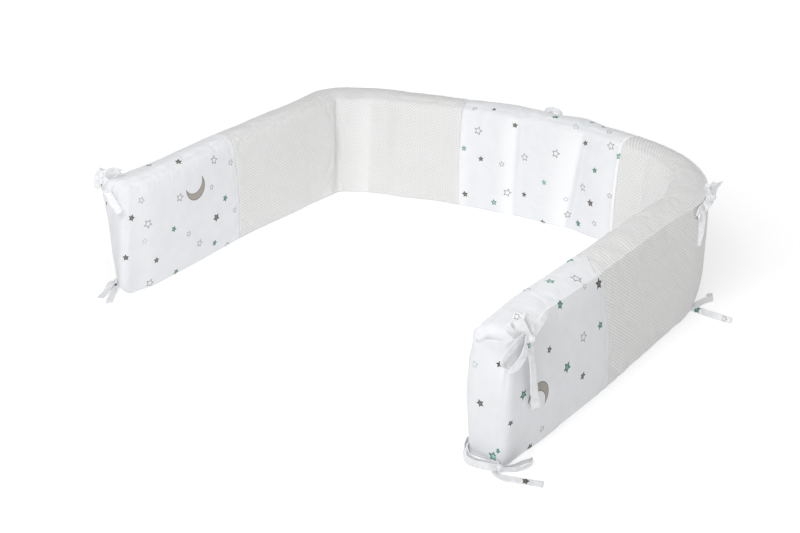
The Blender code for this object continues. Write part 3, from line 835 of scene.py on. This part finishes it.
# The figures that the photograph's side shows: distance along and round the cloth and radius,
# in millimetres, and the turn in degrees. The rest of the repeat is scattered evenly.
Print = namedtuple("Print", "kind along around size turn")
PRINTS = {
    "end_panel_left": {
        "moon": ((153, 167, 23.7, 105), (100, 392, 23.7, 75)),
        "taupe": (
            (-80, 164, 6, 20), (-10, 93, 6, 20), (9, 160, 6.8, 62), (48, 67, 6.4, 9),
            (132, 225, 7.5, 57), (199, 90, 8.8, 46)),
        "pale": ((28, 111, 5.8, 7),),
        "outline": (
            (32, 185, 6.4, 58), (33, 27, 8.5, 65), (38, 140, 9, 50), (113, 162, 8.7, 70),
            (126, 87, 6.2, 57), (153, 57, 8, 65), (193, 152, 6, 67), (208, 198, 9.2, 1),
            (228, 20, 7.8, 18), (250, 85, 6.2, 72), (250, 179, 6.6, 64)),
        "green": (
            (88, 258, 8, 66), (92, 110, 6.2, 55), (94, 22, 7.5, 51), (193, 40, 6.5, 69),
            (226, 118, 7.2, 60)),
    },
    "middle_panel": {
        "mint": ((842, 140, 6, 21), (911, 40, 7, 26), (1015, 102, 6, 28), (1168, 193, 7, 21)),
        "taupe": (
            (849, 45, 7.5, 32), (878, 124, 6, 21), (894, 225, 5, 44), (944, 200, 6, 13),
            (972, 65, 6, 20), (1016, 19, 7, 27), (1089, 192, 6, 34), (1110, 254, 5, 27),
            (1122, 86, 8, 31)),
        "outline": (
            (856, 221, 6, 45), (870, 178, 9, 4), (923, 122, 6, 26), (937, 65, 9, 2),
            (968, 139, 8.5, 29), (1035, 163, 9, 9), (1066, 45, 8, 21), (1098, 108, 9, 36),
            (1131, 236, 7, 45), (1133, 49, 6, 40), (1147, 206, 9, 40), (1163, 114, 6, 23)),
        "green": ((1015, 239, 8, 30), (1083, 259, 7, 23), (1092, 34, 7, 28), (1123, 151, 6, 33)),
        "pale": ((1062, 77, 6, 26), (1064, 220, 8, 45)),
        "moon": ((930, 375, 23.7, 100), (1085, 420, 23.7, 65)),
    },
    "end_panel_right": {
        "moon": ((1925, 384, 23.7, 65), (1860, 120, 23.7, 110)),
        "mint": ((1743, 218, 9.5, 20), (1825, 237, 7, 0), (2075, 18, 8.5, 16)),
        "brown": ((1759, 281, 9.5, 44), (2072, 160, 5, 26)),
        "green": (
            (1765, 343, 7.5, 64), (1854, 370, 9.5, 16), (1858, 273, 7.3, 30),
            (1960, 362, 8.3, 6), (2002, 440, 5, 35)),
        "outline": (
            (1792, 256, 9, 10), (1794, 271, 5, 64), (1810, 342, 9, 30), (1858, 222, 8, 2),
            (1910, 444, 6, 6)),
        "taupe": (
            (1811, 405, 7.5, 33), (1896, 323, 6.3, 27), (1934, 462, 6.3, 7), (1986, 394, 5, 13),
            (2050, 94, 6.5, 46)),
        "pale": ((2037, 150, 6.5, 21),),
    },
}
PRINT_PITCH = 0.036
SCATTERED = {"end_panel_left": (0.285, 0.500), "middle_panel": (0.275, 0.500),
             "end_panel_right": (0.000, 0.195)}
PRINT_SPACE = 0.016
END_FACE_FROM = 1.985        # beyond it every figure of the right end face is placed
SCATTER_KINDS = ("green", "mint", "taupe", "outline", "outline")


def figure(kind, along, around, size, turn):
    return Print(kind, along / 1000, around / 1000, size / 1000, turn)


def all_prints(section):
    """The figures placed from the photograph's side, and the rest of the repeat."""
    dice = random.Random(section.name)
    figures = [figure(kind, *row) for kind, rows in PRINTS[section.name].items() for row in rows]
    lowest, highest = SCATTERED[section.name]
    for row in range(math.ceil((highest - lowest) / PRINT_PITCH)):
        for column in range(math.ceil((section.end.at - section.start.at) / PRINT_PITCH)):
            along = section.start.at + PRINT_PITCH * (column + dice.uniform(0.1, 0.9))
            around = lowest + PRINT_PITCH * (row + dice.uniform(0.1, 0.9))
            made = Print(dice.choice(SCATTER_KINDS), along, around,
                         dice.uniform(0.0055, 0.0090), dice.uniform(0, 72))
            clear = all(math.dist(made[1:3], other[1:3]) > PRINT_SPACE + other.size
                        for other in figures)
            if clear and (section.end is not RIGHT_END or along < END_FACE_FROM):
                figures.append(made)
    return figures


def on_figure(figure, along, around):
    """A place on the cloth in a figure's own turned measure, and the figure's kind."""
    turn = math.radians(figure.turn)
    x = (along - figure.along) / figure.size
    y = (around - figure.around) / figure.size
    return (x * math.cos(turn) + y * math.sin(turn), y * math.cos(turn) - x * math.sin(turn),
            list(INKS).index(figure.kind))


def print_on(made, section):
    """Each face's place on its nearest figure."""
    mesh = made.data
    figures = all_prints(section)
    layer = mesh.attributes.new("figure", "FLOAT_VECTOR", "CORNER")
    marks = mesh.uv_layers["cloth"].data
    for face in mesh.polygons:
        corners = [marks[index].uv for index in face.loop_indices]
        middle = sum(corners, Vector((0.0, 0.0))) / len(corners)
        nearest = min(figures, key=lambda f: math.dist(f[1:3], middle) - f.size)
        for index, mark in zip(face.loop_indices, corners):
            layer.data[index].vector = on_figure(nearest, *mark)


def weave(wire):
    """Height of the plain weave: warp and weft threads going over and under."""
    warp, weft = ((way * (math.tau * THREADS_A_METRE)).sum("SINE") for way in on_the_cloth(wire))
    return warp * weft


def printed(wire, base):
    """The cloth's colour with the figures printed on it."""
    spot = wire.attribute("figure", "Vector")
    x, y, kind = spot.axis("X"), spot.axis("Y"), spot.axis("Z")
    radius = (x * x + y * y).sum("SQRT")
    angle = y.sum("ARCTAN2", x)
    fifth = math.tau / 5
    point = ((angle + 0.5 * fifth).sum("FLOORED_MODULO", fifth) - 0.5 * fifth).sum("ABSOLUTE")
    slope = Vector((STAR_WAIST * math.sin(0.5 * fifth),
                    1.0 - STAR_WAIST * math.cos(0.5 * fifth))).normalized()
    edge = (radius * point.sum("COSINE") - 1.0) * slope.x + radius * point.sum("SINE") * slope.y
    bite = ((x - MOON_BITE[0]) * (x - MOON_BITE[0]) + y * y).sum("SQRT")
    moon = (radius - 1.0).sum("MAXIMUM", MOON_BITE[1] - bite)
    for number, (name, ink) in enumerate(INKS.items()):
        depth = moon if name == "moon" else edge
        soft = 0.015 if name == "moon" else 0.03
        chosen = kind.sum("COMPARE", number, 0.4) * (1.0 - depth.part(-soft, soft))
        line = depth.part(-ink.rim - soft, -ink.rim + soft)
        if ink.fill:
            base = chosen.mix(base, line.mix(ink.fill, ink.line))
        else:
            base = (chosen * line).mix(base, ink.line)
    return base


def cotton():
    """Plain-woven cotton, printed, with painted highlights along its folds' crests and on its
    doubled, raised turned edge.
    """
    made, wire = shader("printed_cotton", 0.85, 0.15)
    cloudy = wire.cloudy(45.0, 3.0)
    base = cloudy.part(0.35, 0.7).mix(COTTON_WHITE, COTTON_SHADE)
    # Painted highlight: the turned edge and the folds' crests are painted whiter than the cloth.
    turned = wire.attribute("turned").part(TURNED_WIDE - 0.001, TURNED_WIDE)
    base = wire.attribute("tight").mix(turned.mix(COTTON_HIGHLIGHT, base), COTTON_HIGHLIGHT)
    printed(wire, base).feed("Base Color")
    (weave(wire) * 0.5 + cloudy * 2.0).bump(0.35, 0.0002)
    return made


cotton_cloth = cotton()
for section in SECTIONS:
    if section.cloth == "printed_cotton":
        cover = covers[section.name]
        print_on(cover, section)
        cover.data.materials.clear()
        cover.data.materials.append(cotton_cloth)
        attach(cover, "root")
        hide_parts(section.name)


# ---------------------------------------------------------------- spacer mesh
# A springy knitted mesh, a few millimetres thick, goes round each back corner. Its face is
# an open lattice of small holes, staggered row by row, through which the layer below shows.

HOLES_ALONG = 145.0          # holes a metre, in each of the two staggered rows
HOLES_AROUND = 180.0
MESH_WHITE = (0.780, 0.778, 0.778)
MESH_SHADE = (0.770, 0.766, 0.762)
# painted highlight on the crests of the mesh's folds
MESH_HIGHLIGHT = (0.860, 0.860, 0.860)
MESH_HOLE = (0.560, 0.556, 0.550)
YARNS_A_METRE = 1300.0


def spacer_mesh():
    """The knit: rows of holes where two slanting waves meet, between fine yarns."""
    made, wire = shader("spacer_mesh", 0.7, 0.25)
    along, around = on_the_cloth(wire)
    one, two = along * (math.tau * HOLES_ALONG), around * (math.tau * HOLES_AROUND)
    lattice = (one + two).sum("COSINE") + (one - two).sum("COSINE")
    hole = lattice.part(0.75, 1.45)
    knit, purl = ((way * (math.tau * YARNS_A_METRE)).sum("SINE") for way in (along, around))
    base = wire.cloudy(30.0, 2.0).part(0.3, 0.75).mix(MESH_WHITE, MESH_SHADE)
    # Painted highlight: the folds' crests are painted whiter, over the holes too.
    base = (wire.attribute("tight") * 0.6).mix(hole.mix(base, MESH_HOLE), MESH_HIGHLIGHT)
    base.feed("Base Color")
    ((1.0 - hole) + lattice * -0.15 + knit * purl * 0.10).bump(0.6, 0.0008)
    return made


mesh_cloth = spacer_mesh()
for section in SECTIONS:
    if section.cloth == "spacer_mesh":
        cover = covers[section.name]
        cover.data.materials.clear()
        cover.data.materials.append(mesh_cloth)
        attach(cover, "root")
        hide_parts(section.name)


# ---------------------------------------------------------------- the sewing thread
# White thread topstitches the seam that closes the cover along the outer top edge, and shows
# there as one row of short stitches, broken only where the sections meet.

STITCH_PITCH = 0.0032
STITCH_LENGTH = 0.0024
THREAD_WIDE = 0.00055
THREAD_WHITE = (0.86, 0.86, 0.85)
TOPSTITCHED = OUTER_EDGE - EDGE_STEPS // 2 - 1       # the ring place that the row follows


def stitch_lines():
    """The topstitching as open lines of points, with the cloth's outward direction."""
    places, edges, ups = [], [], []
    for section in SECTIONS:
        vertices = covers[section.name].data.vertices
        for ring in range(len(section_rings(section))):
            if ring:
                edges.append((len(places) - 1, len(places)))
            vertex = vertices[ring * RING_COUNT + TOPSTITCHED]
            places.append(vertex.co.copy())
            ups.append(vertex.normal.copy())
    lines = bpy.data.meshes.new("stitch_lines")
    lines.from_pydata(places, edges, [])
    kept = lines.attributes.new("outward", "FLOAT_VECTOR", "POINT")
    for item, up in zip(kept.data, ups):
        item.vector = up
    return linked("stitches", lines)


def thread():
    """Spun cotton thread: a fine uneven relief over a matt white."""
    made, wire = shader("sewing_thread", 0.7, 0.2, **{"Base Color": (*THREAD_WHITE, 1.0)})
    wire.cloudy(2600.0, 1.0).bump(0.4, 0.0001)
    return made


def running_stitch(cloth):
    """A node group that sets one stitch of thread at every pitch along its lines."""
    tree = bpy.data.node_groups.new("running_stitch", "GeometryNodeTree")
    tree.interface.new_socket("Lines", in_out="INPUT", socket_type="NodeSocketGeometry")
    given = {name: tree.interface.new_socket(name, in_out="INPUT", socket_type="NodeSocketFloat")
             for name in ("Pitch", "Length", "Thread")}
    tree.interface.new_socket("Stitches", in_out="OUTPUT", socket_type="NodeSocketGeometry")

    def add(kind, inputs=(), **settings):
        """A node set up and linked, and its first output."""
        node = tree.nodes.new(kind)
        for name, value in settings.items():
            setattr(node, name, value)
        for name, value in dict(inputs).items():
            if isinstance(value, bpy.types.NodeSocket):
                tree.links.new(value, node.inputs[name])
            else:
                node.inputs[name].default_value = value
        return next(iter(node.outputs), None)

    source = tree.nodes.new("NodeGroupInput").outputs
    curve = add("GeometryNodeMeshToCurve", {"Mesh": source["Lines"]})
    even = add("GeometryNodeResampleCurve", {"Curve": curve, "Length": source["Pitch"]},
               mode="LENGTH")
    run = add("GeometryNodeInputTangent")
    outward = add("GeometryNodeInputNamedAttribute", {"Name": "outward"},
                  data_type="FLOAT_VECTOR")
    along = add("FunctionNodeAlignRotationToVector", {"Vector": run}, axis="X")
    turned = add("FunctionNodeAlignRotationToVector", {"Rotation": along, "Vector": outward},
                 axis="Z", pivot_axis="X")
    size = add("ShaderNodeCombineXYZ",
               {"X": source["Length"], "Y": source["Thread"], "Z": source["Thread"]})
    bead = add("GeometryNodeMeshUVSphere", {"Segments": 6, "Rings": 5, "Radius": 0.5})
    made = add("GeometryNodeInstanceOnPoints",
               {"Points": even, "Instance": bead, "Rotation": turned, "Scale": size})
    made = add("GeometryNodeRealizeInstances", {"Geometry": made})
    made = add("GeometryNodeSetShadeSmooth", {"Geometry": made})
    made = add("GeometryNodeSetMaterial", {"Geometry": made, "Material": cloth})
    add("NodeGroupOutput", {"Stitches": made})
    return tree, {name: socket.identifier for name, socket in given.items()}


def sewn():
    """All the stitches as one mesh."""
    made = stitch_lines()
    modifier = made.modifiers.new("stitches", "NODES")
    modifier.node_group, identifiers = running_stitch(thread())
    for name, value in (("Pitch", STITCH_PITCH), ("Length", STITCH_LENGTH),
                        ("Thread", THREAD_WIDE)):
        modifier[identifiers[name]] = value
    bpy.context.view_layer.update()
    plain_mesh(made)
    made.data.name = "stitches"
    return made


stitches = sewn()
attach(stitches, "root")


# ---------------------------------------------------------------- ties
# Flat straps of folded white cotton, sewn into the outer edges and tied in loose bows and
# knots, with free ends. Offsets are millimetres right, back and up from where each is sewn,
# and a fourth number is the strap's own turn there, in degrees.

STRAP_WIDTH = 0.0145
STRAP_THICK = 0.0020
STRAP_STEPS = 9
STRAP_SIDES = 16
MILLIMETRE = 0.001
FLOOR = -2.0
OFF_FLOOR = 0.0002
TIE_ROWS = {"top": FIRST_TOP_ROW + EDGE_STEPS // 3, "bottom": FIRST_SIDE_ROW - BOTTOM_STEPS // 2}
Strap = namedtuple("Strap", "width wide rows prints", defaults=((),))
Knot = namedtuple("Knot", "place radii")
Tie = namedtuple("Tie", "name at edge knots straps")

ACROSS = (1.0, 0.0, 0.0)
BACKWARD = (0.0, 1.0, 0.0)
UPRIGHT = (0.0, 0.0, 1.0)
FACING = (0.62, -0.66, 0.43)         # a strap that shows its flat side to the open side
ASIDE = (0.73, 0.68, 0.0)            # a loop folded back on itself, seen flat from there

TIES = (
    Tie("tie_left_end_top", 0.008, "top", [Knot((-2, -2, 1), (7.5, 7, 6.5))], [
        Strap(1.0, BACKWARD, ((2, 7, -4), (0, 3, -2), (-2, -2, 1))),
        Strap(0.7, (0.3, -0.3, 0.9), ((-2, -2, 6), (3, 1, 16), (12, 5, 22, 8), (21, 8, 23, 10),
            (20, 11, 17, 10), (9, 7, 12), (-2, 2, 5))),
        Strap(0.6, (0.3, -0.3, 0.9), ((-4, -2, 6), (-10, -3, 14), (-8, -2, 20, 10),
            (-2, 0, 17, 10), (-2, 0, 6))),
        Strap(0.7, FACING, ((-4, -3, 8), (-9, -6, 13), (-15, -8, 3, 10), (-18, -8, -16, 15))),
        Strap(0.9, FACING, ((-4, -6, -3), (15, -14, -10), (34, -19, -23), (53, -22, -36, 5)),
            [figure("brown", 6, 7, 4.5, 10)]),
    ]),
    Tie("tie_left_end_bottom", 0.008, "bottom", [Knot((-1, -4, 5), (5.5, 6.5, 5.5))], [
        Strap(0.8, UPRIGHT, ((3, 6, 7), (0, 1, 7), (-1, -4, 6))),
        Strap(0.85, (0.95, 0.3, 0.1), ((-2, -4, 5), (-2, -16, 6, -15), (5, -34, 0),
            (12, -52, FLOOR))),
        Strap(0.85, (0.9, 0.42, 0.0), ((0, -5, 4), (10, -19, 2, 15), (24, -38, FLOOR),
            (37, -55, FLOOR)), [figure("brown", 6, 7, 4.5, 10)]),
    ]),
    Tie("tie_left_corner_top", 0.57, "top", [Knot((-10, 4, -14), (8, 8, 6))], [
        Strap(1.0, BACKWARD, ((3, -1, -10), (-4, 2, -11), (-10, 4, -13))),
        Strap(0.9, ACROSS, ((-11, 7, -11), (-14, 15, -12), (-17, 26, -21), (-17, 25, -32),
            (-15, 14, -26), (-11, 6, -17))),
        Strap(0.9, BACKWARD, ((-12, 4, -16), (-18, 6, -34), (-19, 10, -64))),
        Strap(0.9, BACKWARD, ((-9, 2, -16), (-14, -4, -32), (-16, -12, -60, 10),
            (-18, -16, -90, 25)), [figure("green", 30, 7, 5.5, 30)]),
    ]),
    Tie("tie_left_corner_bottom", 0.56, "bottom", [Knot((-4, 2, 2), (5, 6, 4.5))], [
        Strap(0.8, UPRIGHT, ((4, 0, 5), (0, 1, 5), (-4, 2, 5))),
        Strap(1.0, (0.3, 0.95, 0.0), ((-5, 1, 2), (-16, -1, 0), (-32, -8, FLOOR),
            (-46, -18, FLOOR))),
        Strap(0.9, (-0.8, 0.6, 0.0), ((-4, 3, 3), (-12, 14, 1), (-20, 26, FLOOR),
            (-26, 38, FLOOR)), [figure("taupe", 25, 7, 5, 50)]),
    ]),
    Tie("tie_back_top", 0.985, "top", [Knot((2, 14, -8), (8, 6, 6))], [
        Strap(1.0, ACROSS, ((2, -4, -3), (1, 5, -4), (2, 12, -7))),
        Strap(0.8, (-0.2, 0.9, 0.4), ((0, 13, -9), (-8, 10, -7), (-11, 9, -2), (-4, 11, 3),
            (9, 12, 5), (20, 13, 1), (23, 13, -7), (14, 14, -13), (4, 14, -11))),
        Strap(0.8, (0.1, 0.9, 0.5), ((3, 14, -8), (12, 19, -14), (20, 21, -25), (16, 20, -33),
            (7, 17, -22), (2, 14, -10))),
        Strap(0.9, ACROSS, ((-1, 13, -9), (-6, 17, -24), (-10, 19, -50), (-12, 19, -82))),
        Strap(0.9, ACROSS, ((3, 13, -9), (6, 14, -24), (11, 14, -44), (13, 14, -66)),
            [figure("outline", 40, 7, 5.5, 20)]),
    ]),
    Tie("tie_back_bottom", 0.985, "bottom", [Knot((0, 5, 2), (6, 5, 4.5))], [
        Strap(0.8, UPRIGHT, ((1, -4, 5), (0, 1, 5), (0, 5, 5))),
        Strap(1.0, (0.9, 0.3, 0.0), ((-1, 6, 2), (-8, 17, 0), (-18, 30, FLOOR), (-26, 44, FLOOR)),
            ),
        Strap(0.9, (0.7, -0.7, 0.0), ((2, 6, 3), (11, 15, 1), (23, 24, FLOOR), (38, 30, FLOOR)),
            [figure("mint", 30, 7, 5, 10)]),
    ]),
    Tie("tie_right_corner_top", 1.396, "top", [
        Knot((13, -17, 2), (9, 12, 7)), Knot((16, -53, -12), (6, 7, 6))], [
        Strap(1.0, BACKWARD, ((-5, -3, -3), (4, -9, 1), (12, -15, 2))),
        Strap(0.6, ASIDE, ((13, -21, 6), (12, -31, 17), (12, -37, 25), (12, -33, 29, 10),
            (13, -25, 23, 15), (14, -18, 7))),
        Strap(0.5, ASIDE, ((14, -16, 6), (15, -20, 18, 20), (15, -18, 25, 30), (16, -10, 22, 20),
            (15, -12, 6))),
        Strap(0.7, FACING, ((14, -14, 5), (15, -6, 15, 25), (17, 9, 17, 60))),
        Strap(0.95, FACING, ((14, -18, -1), (16, -36, -4, 15), (16, -52, -11))),
        Strap(0.6, (-0.2, -0.4, 0.9), ((16, -48, -7), (18, -62, 0), (19, -74, -3),
            (19, -75, -11), (18, -66, -17), (16, -55, -15))),
        Strap(0.75, FACING, ((18, -56, -12), (21, -59, -30), (21, -61, -49, 10),
            (20, -64, -67, 20))),
    ]),
    Tie("tie_right_corner_bottom", 1.438, "bottom", [Knot((3, 4, 2), (5, 7, 4.5))], [
        Strap(0.8, UPRIGHT, ((-4, 2, 5), (0, 3, 5), (3, 4, 5))),
        Strap(0.8, (-0.1, 0.75, 0.66), ((4, 3, 1), (16, 1, FLOOR), (44, 1, FLOOR), (73, 2, FLOOR)),
            [figure("green", 10, 7, 5.5, 40), figure("outline", 58, 7, 5, 0)]),
        Strap(0.75, (-0.3, 0.2, 0.9), ((3, 6, 3), (6, 20, 3), (10, 38, 3), (16, 52, 3),
            (12, 58, 3), (7, 51, 3))),
    ]),
    Tie("tie_right_end_top", 1.975, "top", [Knot((10, 16, -1), (12, 12, 6))], [
        Strap(1.0, (0.3, -0.8, 0.5), ((-3, 0, -3), (3, 8, -2), (9, 15, -1))),
        Strap(1.1, ASIDE, ((9, 13, 1), (6, 4, 18), (4, 0, 29), (3, 1, 34), (4, 5, 35),
            (6, 9, 30), (9, 16, 15), (10, 18, 0)), [figure("outline", 36, 6, 3, 20)]),
        Strap(0.9, (0.5, 0.6, 0.6), ((6, 11, 1), (0, 0, 9), (-5, -6, 17), (-3, -3, 21),
            (3, 5, 14), (8, 12, 2))),
        Strap(0.95, FACING, ((11, 20, 0), (13, 35, 10, 10), (15, 50, 20, 35), (16, 58, 26, 62))),
        Strap(1.05, (-0.15, -0.65, 0.72), ((14, 11, 0), (18, -2, -12), (16, -13, -26),
            (8, -22, -34), (1, -25, -26), (4, -21, -12), (8, -9, -1), (9, 7, 2)),
            [figure("mint", 8, 5, 4.5, 20)]),
        Strap(1.0, BACKWARD, ((12, 16, -3), (17, 14, -18), (19, 19, -50), (19, 26, -86, 10),
            (18, 36, -120, 40)), [figure("taupe", 130, 4, 6, 40)]),
    ]),
    Tie("tie_right_end_bottom", 1.975, "bottom", [Knot((-2, -25, 3), (7, 6, 5.5))], [
        Strap(0.6, UPRIGHT, ((-4, -6, 3), (-3, -13, 3), (-2, -20, 3), (-2, -24, 3))),
        Strap(0.85, UPRIGHT, ((-4, -27, 4), (-20, -34, 4), (-38, -39, 4), (-53, -34, 4),
            (-64, -20, 5), (-71, -3, 6), (-66, -3, 6), (-59, -19, 5), (-49, -29, 4),
            (-37, -33, 4), (-21, -28, 4), (-5, -21, 4))),
        Strap(0.75, (0.3, -0.2, 0.93), ((0, -22, 3), (9, -11, 3), (16, 5, 3), (22, 18, 3),
            (26, 9, 3), (20, -10, 3), (1, -27, 3))),
        Strap(0.9, (-0.25, 0.97, 0.0), ((-3, -28, 2), (-2, -36, 0, -20), (12, -34, FLOOR),
            (32, -26, FLOOR), (48, -19, FLOOR), (61, -14, FLOOR)),
            [figure("brown", 52, 7, 5.5, 10)]),
    ]),
)
NO_PRINT = (9.0, 9.0, -1.0)
PRINT_REACH = 1.6            # of its radius, how far along a strap a figure reaches
STRAP_SWAY = 0.0009


def smooth_rows(rows):
    """Catmull-Rom points through a strap's rows, each with its turn as a fourth number."""
    rows = [(*row, 0)[:4] for row in rows]
    points = []
    for before, here, there, after in zip(rows[:1] + rows, rows, rows[1:], rows[2:] + rows[-1:]):
        for step in range(STRAP_STEPS):
            t = step / STRAP_STEPS
            points.append(tuple(
                0.5 * (2 * b + (c - a) * t + (2 * a - 5 * b + 4 * c - d) * t * t
                       + (3 * b - a - 3 * c + d) * t ** 3)
                for a, b, c, d in zip(before, here, there, after)))
    points.append(rows[-1])
    return points


def strap(shape, layers, made, root):
    """A soft flat strap through its rows: rounded edges, closed ends, and its prints."""
    layer, print_layer = layers
    rows = smooth_rows(made.rows)
    places = [root + MILLIMETRE * Vector(row[:3]) for row in rows]
    half = 0.5 * made.width * STRAP_WIDTH
    loops, marks = [], [0.0]
    for index, (place, row) in enumerate(zip(places, rows)):
        behind = places[max(index - 1, 0)]
        run = (places[min(index + 1, len(places) - 1)] - behind).normalized()
        wide = run.cross(Vector(FACING)) if made.wide is FACING else Vector(made.wide)
        wide = (wide - wide.dot(run) * run).normalized()
        turn = math.radians(row[3])
        wide = math.cos(turn) * wide + math.sin(turn) * run.cross(wide)
        flat = run.cross(wide)
        if index:
            marks.append(marks[-1] + (place - behind).length)
        ring = []
        for side in range(STRAP_SIDES):
            angle = math.tau * side / STRAP_SIDES
            across = math.copysign(abs(math.cos(angle)) ** 0.6, math.cos(angle))
            lift = math.copysign(abs(math.sin(angle)) ** 0.7, math.sin(angle))
            thick = 0.5 * STRAP_THICK * (0.75 + 0.5 * across ** 2)
            sway = STRAP_SWAY * noise.noise(place * 90.0 + Vector((0.0, 0.0, across)))
            ring.append(place + half * across * wide + (thick * lift + sway) * flat)
        raised = Vector((0.0, 0.0, max(0.0, OFF_FLOOR - min(point.z for point in ring))))
        loops.append([shape.verts.new(point + raised) for point in ring])

    def lay(corner, ring, step, side):
        around = STRAP_WIDTH * abs(2.0 * side / STRAP_SIDES - 1.0)
        near = [f for f in made.prints if abs(marks[ring] - f.along) < PRINT_REACH * f.size]
        corner[layer].uv = (marks[step], around)
        corner[print_layer] = on_figure(near[0], marks[step], around) if near else NO_PRINT

    skin(shape, loops, lay)
    for end in (loops[0], loops[-1]):
        for corner in shape.faces.new(end).loops:
            corner[print_layer] = NO_PRINT
    return marks[-1]


# The turns of cloth in a knot: the axis each goes round, its half width and how far it stands.
TURNS = (((0.25, 1.0, 0.15), 0.42, 0.15), ((1.0, -0.35, 0.55), 0.36, 0.09))
KNOT_CORE = 0.84


def knot(shape, layers, made, root):
    """The pulled-tight knot: turns of the strap, one over another, round a small bundle."""
    layer, print_layer = layers
    middle = root + MILLIMETRE * Vector(made.place)
    middle.z = max(middle.z, MILLIMETRE * made.radii[2])
    radii = MILLIMETRE * Vector(made.radii)
    bundle = bmesh.ops.create_uvsphere(shape, u_segments=28, v_segments=18, radius=1.0)
    for vertex in bundle["verts"]:
        way = vertex.co.normalized()
        reach = KNOT_CORE + 0.05 * noise.noise(3.0 * way + 100.0 * middle)
        for axis, wide, high in TURNS:
            away = abs(way.dot(Vector(axis).normalized()))
            reach += high * min(1.0, max(0.0, (wide - away) / 0.10))
        vertex.co = middle + reach * Vector((way.x * radii.x, way.y * radii.y, way.z * radii.z))
    for face in {face for vertex in bundle["verts"] for face in vertex.link_faces}:
        for corner in face.loops:
            spot = corner.vert.co - middle
            corner[layer].uv = (spot.x + spot.y, spot.z)
            corner[print_layer] = NO_PRINT
    return math.pi * (radii.y + radii.z)


TIE_WHITE = (0.860, 0.866, 0.878)
TIE_SHADE = (0.770, 0.780, 0.800)


def tie_cotton():
    """The straps' cotton: doubled, so whiter, rumpled from tying, and printed here and there."""
    made, wire = shader("tie_cotton", 0.85, 0.2)
    cloudy = wire.cloudy(120.0, 2.0)
    base = cloudy.part(0.35, 0.7).mix(TIE_WHITE, TIE_SHADE)
    printed(wire, base).feed("Base Color")
    (weave(wire) * 0.4 + cloudy * 5.0).bump(0.5, 0.0003)
    return made


tie_cloth = tie_cotton()
for tie in TIES:
    root = wall_point(RING_COUNT - 1 - TIE_ROWS[tie.edge], tie.at)
    shape = bmesh.new()
    shape.loops.layers.uv.new("cloth")
    shape.loops.layers.float_vector.new("figure")
    layers = (shape.loops.layers.uv["cloth"], shape.loops.layers.float_vector["figure"])
    length = sum(knot(shape, layers, made, root) for made in tie.knots)
    length += sum(strap(shape, layers, made, root) for made in tie.straps)
    mesh = finished(shape, tie.name + "_straps")
    mesh.shade_smooth()
    mesh.materials.append(tie_cloth)
    bow = linked(tie.name + "_bow", mesh)
    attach(bow, "root")
    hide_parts(tie.name)
    "hung" if tie.edge == "top" else "laid"


# ---------------------------------------------------------------- floor, light and camera
# A plain pale floor, soft studio light from the front left and above, and a camera a little
# above the wall, in front of its right end and looking across the open side.

floor_mesh = bpy.data.meshes.new("floor")
floor_mesh.from_pydata([(-6, -6, 0), (6, -6, 0), (6, 6, 0), (-6, 6, 0)], [], [(0, 1, 2, 3)])
floor = linked("floor", floor_mesh)
floor.location.z = -0.0004
floor_paint, wire = shader("floor_paint", 0.9, 0.0, **{
    "Base Color": (0.62, 0.62, 0.62, 1.0), "Emission Strength": 1.0})
spot = wire.node("ShaderNodeTexCoord", out="Object")
reach = wire.node("ShaderNodeVectorMath", {"operation": "LENGTH"}, {0: spot}, "Value")
reach.part(0.6, 1.7).mix((0.50, 0.50, 0.50), (1.0, 1.0, 1.0)).feed("Emission Color")
floor_mesh.materials.append(floor_paint)

studio = bpy.data.worlds.new("studio")
studio.use_nodes = True
background = studio.node_tree.nodes["Background"]
background.inputs["Color"].default_value = (1.0, 1.0, 1.0, 1.0)
background.inputs["Strength"].default_value = 0.33
bpy.context.scene.world = studio


def softbox(name, place, aim, power, size):
    data = bpy.data.lights.new(name, "AREA")
    data.energy = power
    data.size = size
    lamp = linked(name, data)
    lamp.location = place
    lamp.rotation_euler = (Vector(aim) - Vector(place)).to_track_quat("-Z", "Y").to_euler()


softbox("key_light", (0.4, -2.4, 2.5), (0.0, 0.0, 0.1), 37.0, 1.4)
softbox("front_light", (1.7, -2.9, 1.5), (0.0, 0.0, 0.1), 14.0, 1.2)
softbox("right_light", (2.6, -0.4, 2.6), (0.0, 0.0, 0.1), 3.6, 2.0)
softbox("left_light", (-2.6, -0.2, 2.6), (0.0, 0.0, 0.1), 3.0, 2.0)
softbox("inner_light", (0.15, -0.42, 0.95), (-0.28, 0.25, 0.1), 2.6, 0.5)
softbox("top_light", (0.0, 0.4, 2.8), (0.0, 0.0, 0.0), 15.5, 2.4)

eye = bpy.data.cameras.new("photo_camera")
eye.sensor_width = 36.0
eye.lens = 53.86
eye.clip_start = 0.02
camera = linked("photo_camera", eye)
camera.location = (1.0690, -1.5087, 1.0036)
facing = Euler((math.radians(62.165), 0.0, math.radians(37.236))).to_matrix()
camera.rotation_euler = (facing @ Euler((0.0, 0.0, math.radians(0.543))).to_matrix()).to_euler()
bpy.context.scene.camera = camera
bpy.context.scene.view_settings.view_transform = "Standard"
